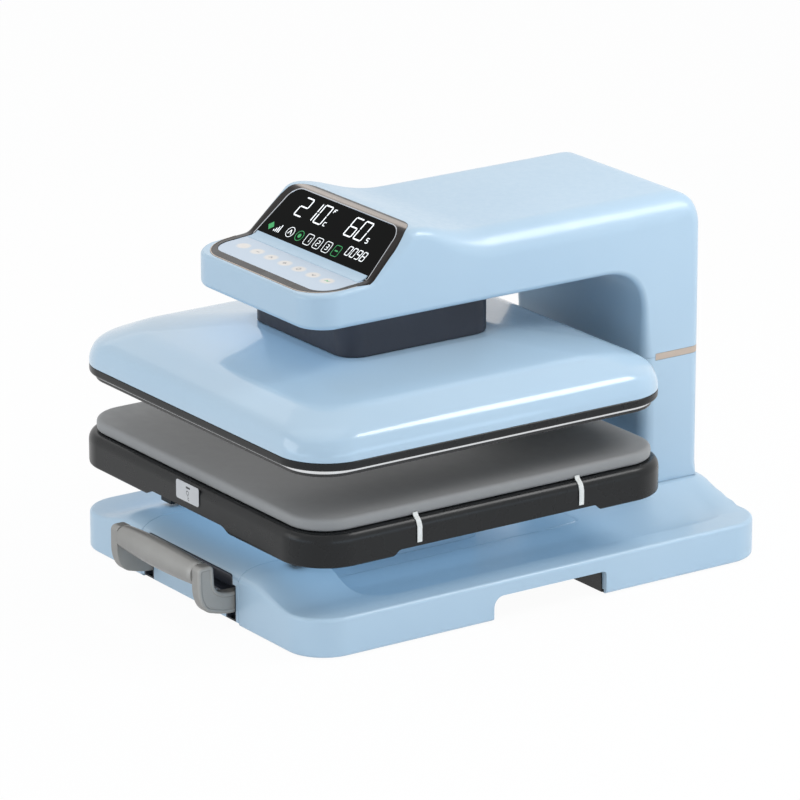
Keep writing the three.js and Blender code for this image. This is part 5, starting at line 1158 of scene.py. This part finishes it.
def film_finish():
    """The touch film: pale, with soft cream spots at one pitch along X."""
    film = Finish("touch_film", "B4C4D5", 0.22, None, (20, 0.22, 0.26), Coat_Weight=0.25, Coat_Roughness=0.08)
    maths, (x, y, _) = film.maths, film.parts(film.place)
    pitch = (SPOT_PLACES[-1] - SPOT_PLACES[0]) / (len(SPOT_PLACES) - 1) * MM
    first = SPOT_PLACES[0] * MM - pitch / 2
    middle_y = (KINK + SPOT_V * math.cos(STRIP_TILT) + BASE_SETBACK) * MM
    cells = maths("DIVIDE", maths("SUBTRACT", x, first), pitch)
    within = maths("MULTIPLY", maths("SUBTRACT", maths("FRACT", cells), 0.5), pitch / (SPOT_HALF_X * MM))
    across = maths("DIVIDE", maths("SUBTRACT", y, middle_y), SPOT_HALF_Y * MM)
    distance = maths("ADD", maths("MULTIPLY", within, within), maths("MULTIPLY", across, across))
    ends = maths("LESS_THAN", maths("ABSOLUTE", x), 3.5 * pitch)
    spot = maths("MULTIPLY", film.ramp(distance, 1, 0, 0.45, 1.15), ends)
    film.set("Base Color", film.mix(spot, film.cloud(10, film.colour, "B8C7D7", 2), "DAD4CE"))


def finish_piece(thing, name, body, material, slot, *replaced, crease=32):
    """Names a finished piece, gives it its material and hangs it on its body."""
    with edited(thing) as shape:
        bmesh.ops.remove_doubles(shape, verts=shape.verts, dist=0.00002)
        bmesh.ops.dissolve_degenerate(shape, edges=shape.edges, dist=0.00002)
    smooth(thing, crease)
    even_normals(thing)
    thing.name = thing.data.name = name
    thing.data.materials.clear()
    thing.data.materials.append(MATERIALS[material])
    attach(thing, body)
    if replaced:
        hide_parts(*replaced)


# CAD nodes: those that show get softened edges in a copy, and the rest keep their mesh


REFINED = [("arm_bottom_cover", "head_underplate", "housing", "blue_housing", 0.5),
           ("rear_panel", "rear_cover_panel", "charcoal", "charcoal_plastic", 0.5),
           ("power_inlet", "mains_socket", "black_plastic", "black_plastic", 0.3),
           ("switch_frame", "switch_surround", "black_plastic", "black_plastic", 0.3),
           ("rocker_switch", "switch_rocker", "black_plastic", "black_plastic", 0.3),
           ("drawer_chassis", "drawer_channel", "painted_steel", "painted_steel", 0.4),
           ("pedestal", "platen_post", "housing", "blue_housing", 0.8),
           ("tray_carrier", "platen_carrier", "charcoal", "charcoal_plastic", 0.8),
           ("label_plate", "latch_plate", "label_grey", "label_grey", 0.25)]
FEET = [(f"foot_{end}_{side}", f"rubber_foot_{end}_{side}", "black_plastic", "black_plastic", 0.3)
        for end in ("front", "rear") for side in ("left", "right")]
KEPT = {
    "steel": "drive_motor screw_bearing slide_rail_fixed_left slide_rail_fixed_right slide_rail_moving_left "
             "slide_rail_moving_right lead_screw heating_element guide_rod_left guide_rod_right handle_pin_left "
             "handle_pin_right",
    "bronze": "guide_bush_left guide_bush_right lead_nut", "aluminium": "gearbox press_yoke",
    "circuit_board": "power_board display_board", "painted_steel": "steel_frame",
    "insulation": "insulation_board", "slate": "collar_sleeve",
}


def refine(node, name, material, slot, edge, *cuts):
    source = frame["nodes"][node]
    twin = link(name, source.data.copy())
    with edited(twin) as shape:
        bmesh.ops.remove_doubles(shape, verts=shape.verts, dist=0.00001)
        bmesh.ops.dissolve_limit(shape, angle_limit=math.radians(2), verts=shape.verts, edges=shape.edges)
    if cuts:
        carve(twin, "DIFFERENCE", *cuts)
    bevel = twin.modifiers.new("edge", "BEVEL")
    bevel.width, bevel.segments, bevel.miter_outer = edge * MM, 2, "MITER_ARC"
    bevel.limit_method, bevel.angle_limit = "ANGLE", math.radians(35)
    apply_modifiers(twin)
    finish_piece(twin, name, source["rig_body"], material, slot, node)


def cad_pieces():
    rooms = [block(side * (BASE_HALF + 4), side * (BASE_HALF - NOTCH_DEPTH - FIT), NOTCH_FRONT - FIT, NOTCH_REAR + FIT,
                   -2, 9) for side, _ in SIDES]
    refine("base_pan", "base_plate", "painted_steel", "painted_steel", 0.3, *rooms)
    for row in FEET + REFINED:
        refine(*row)
    for material, nodes in KEPT.items():
        for node in nodes.split():
            mesh = frame["nodes"][node].data
            mesh.materials.clear()
            mesh.materials.append(MATERIALS[material])


for make in (
    plain_finishes, handle_finish, gunmetal_finish, hot_plate_finish, elastic_finish, film_finish,
    base_pieces, arm_pieces, display_pieces, strip_pieces, head_pieces, platen_pieces, straps, latch_marks,
    notch_liners, leg_sockets, grip_recess, grip_piece, handle_legs, screw_pieces, cad_pieces,
):
    make()


# Floor, background and lamps

WHITE, ROOM_TINT, PALE_BLUE, TRAY_BLUE = (1, 1, 1), (0.92, 0.965, 1.0), (0.6, 0.8, 1.0), (0.53, 0.77, 1.0)
ROOM_LIGHT, FLOOR_GLOW = 0.66, 0.96
FLOOR_HALF = 9000


def make_world():
    """The room is white to the eye and in reflections, and gives the object less and bluer light."""
    scene.world = bpy.data.worlds.new("pale_room")
    scene.world.use_nodes = True
    room = Tree(scene.world.node_tree)
    path = room.add("ShaderNodeLightPath")
    seen = room.maths("MAXIMUM", path["Is Camera Ray"], path["Is Transmission Ray"])
    seen = room.maths("MAXIMUM", seen, path["Is Glossy Ray"])
    background = room.nodes["Background"].inputs
    room.give(background["Color"], room.mix(seen, (*ROOM_TINT, 1), (*WHITE, 1)))
    room.give(background["Strength"], room.ramp(seen, ROOM_LIGHT, 1, 0, 1))


def make_floor():
    corners = [(x * FLOOR_HALF, y * FLOOR_HALF, 0) for x, y in ((-1, -1), (1, -1), (1, 1), (-1, 1))]
    floor = mesh_object(corners, [(0, 1, 2, 3)], "studio_floor")
    paint = Finish("pale_floor", "F2F2F2", 0.9, (3, "F5F5F5"), Specular_IOR_Level=0.1)
    path = paint.add("ShaderNodeLightPath")
    seen = paint.maths("MAXIMUM", path["Is Camera Ray"], path["Is Glossy Ray"])
    glow = paint.add("ShaderNodeEmission", {"Color": (*WHITE, 1)})[0]
    surface = paint.nodes["Principled BSDF"].outputs[0]
    blend = paint.add("ShaderNodeMixShader", {0: paint.maths("MULTIPLY", seen, FLOOR_GLOW), 1: surface, 2: glow})[0]
    paint.give(paint.nodes["Material Output"].inputs["Surface"], blend)
    floor.data.materials.append(paint.material)


def lamp(name, place, target, size, power, colour=WHITE, mirrored=True):
    light = bpy.data.lights.new(name, "AREA")
    light.shape = "RECTANGLE"
    light.size, light.size_y = size
    light.energy, light.color = power, colour
    holder = link(name, light)
    holder.visible_camera = holder.visible_glossy = mirrored
    aim(holder, place, Vector(target) - Vector(place))


make_world()
make_floor()
lamp("top_softbox", (-0.3, -0.5, 2.6), (0, 0, 0.15), (2.4, 2.4), 8.5)
lamp("front_softbox", (-0.9, -2.5, 0.9), (0, 0, 0.15), (1.6, 1.2), 10.5)
lamp("side_softbox", (2.7, 0.2, 1.1), (0, 0, 0.15), (1.6, 1.2), 1)
lamp("edge_strip", (0.58, 0.63, 1.03), (0.19, -0.03, 0.2), (0.42, 0.52), 6)
lamp("crease_softbox", (-1.04, 0.11, 0.9), (-0.1, -0.2, 0.2), (0.8, 0.5), 0.5)
lamp("low_fill_right", (1.3, 0.05, 0.17), (0, 0, 0.06), (1.4, 0.2), 2, PALE_BLUE)
lamp("under_tray_fill", (0, -0.03, 0.0822), (0, -0.0301, 0), (0.36, 0.36), 0.4, TRAY_BLUE, False)
lamp("under_cover_fill", (-0.03, -0.1, 0.1632), (-0.03, -0.1001, 0), (0.3, 0.24), 0.1, WHITE, False)
lamp("under_head_fill", (0, -0.09, 0.2618), (0, -0.0901, 0), (0.19, 0.15), 0.07, PALE_BLUE, False)
lamp("low_fill_front", (0.1, -1.4, 0.17), (0, 0, 0.06), (1.2, 0.2), 1.4, PALE_BLUE)

scene.view_settings.view_transform = "Standard"
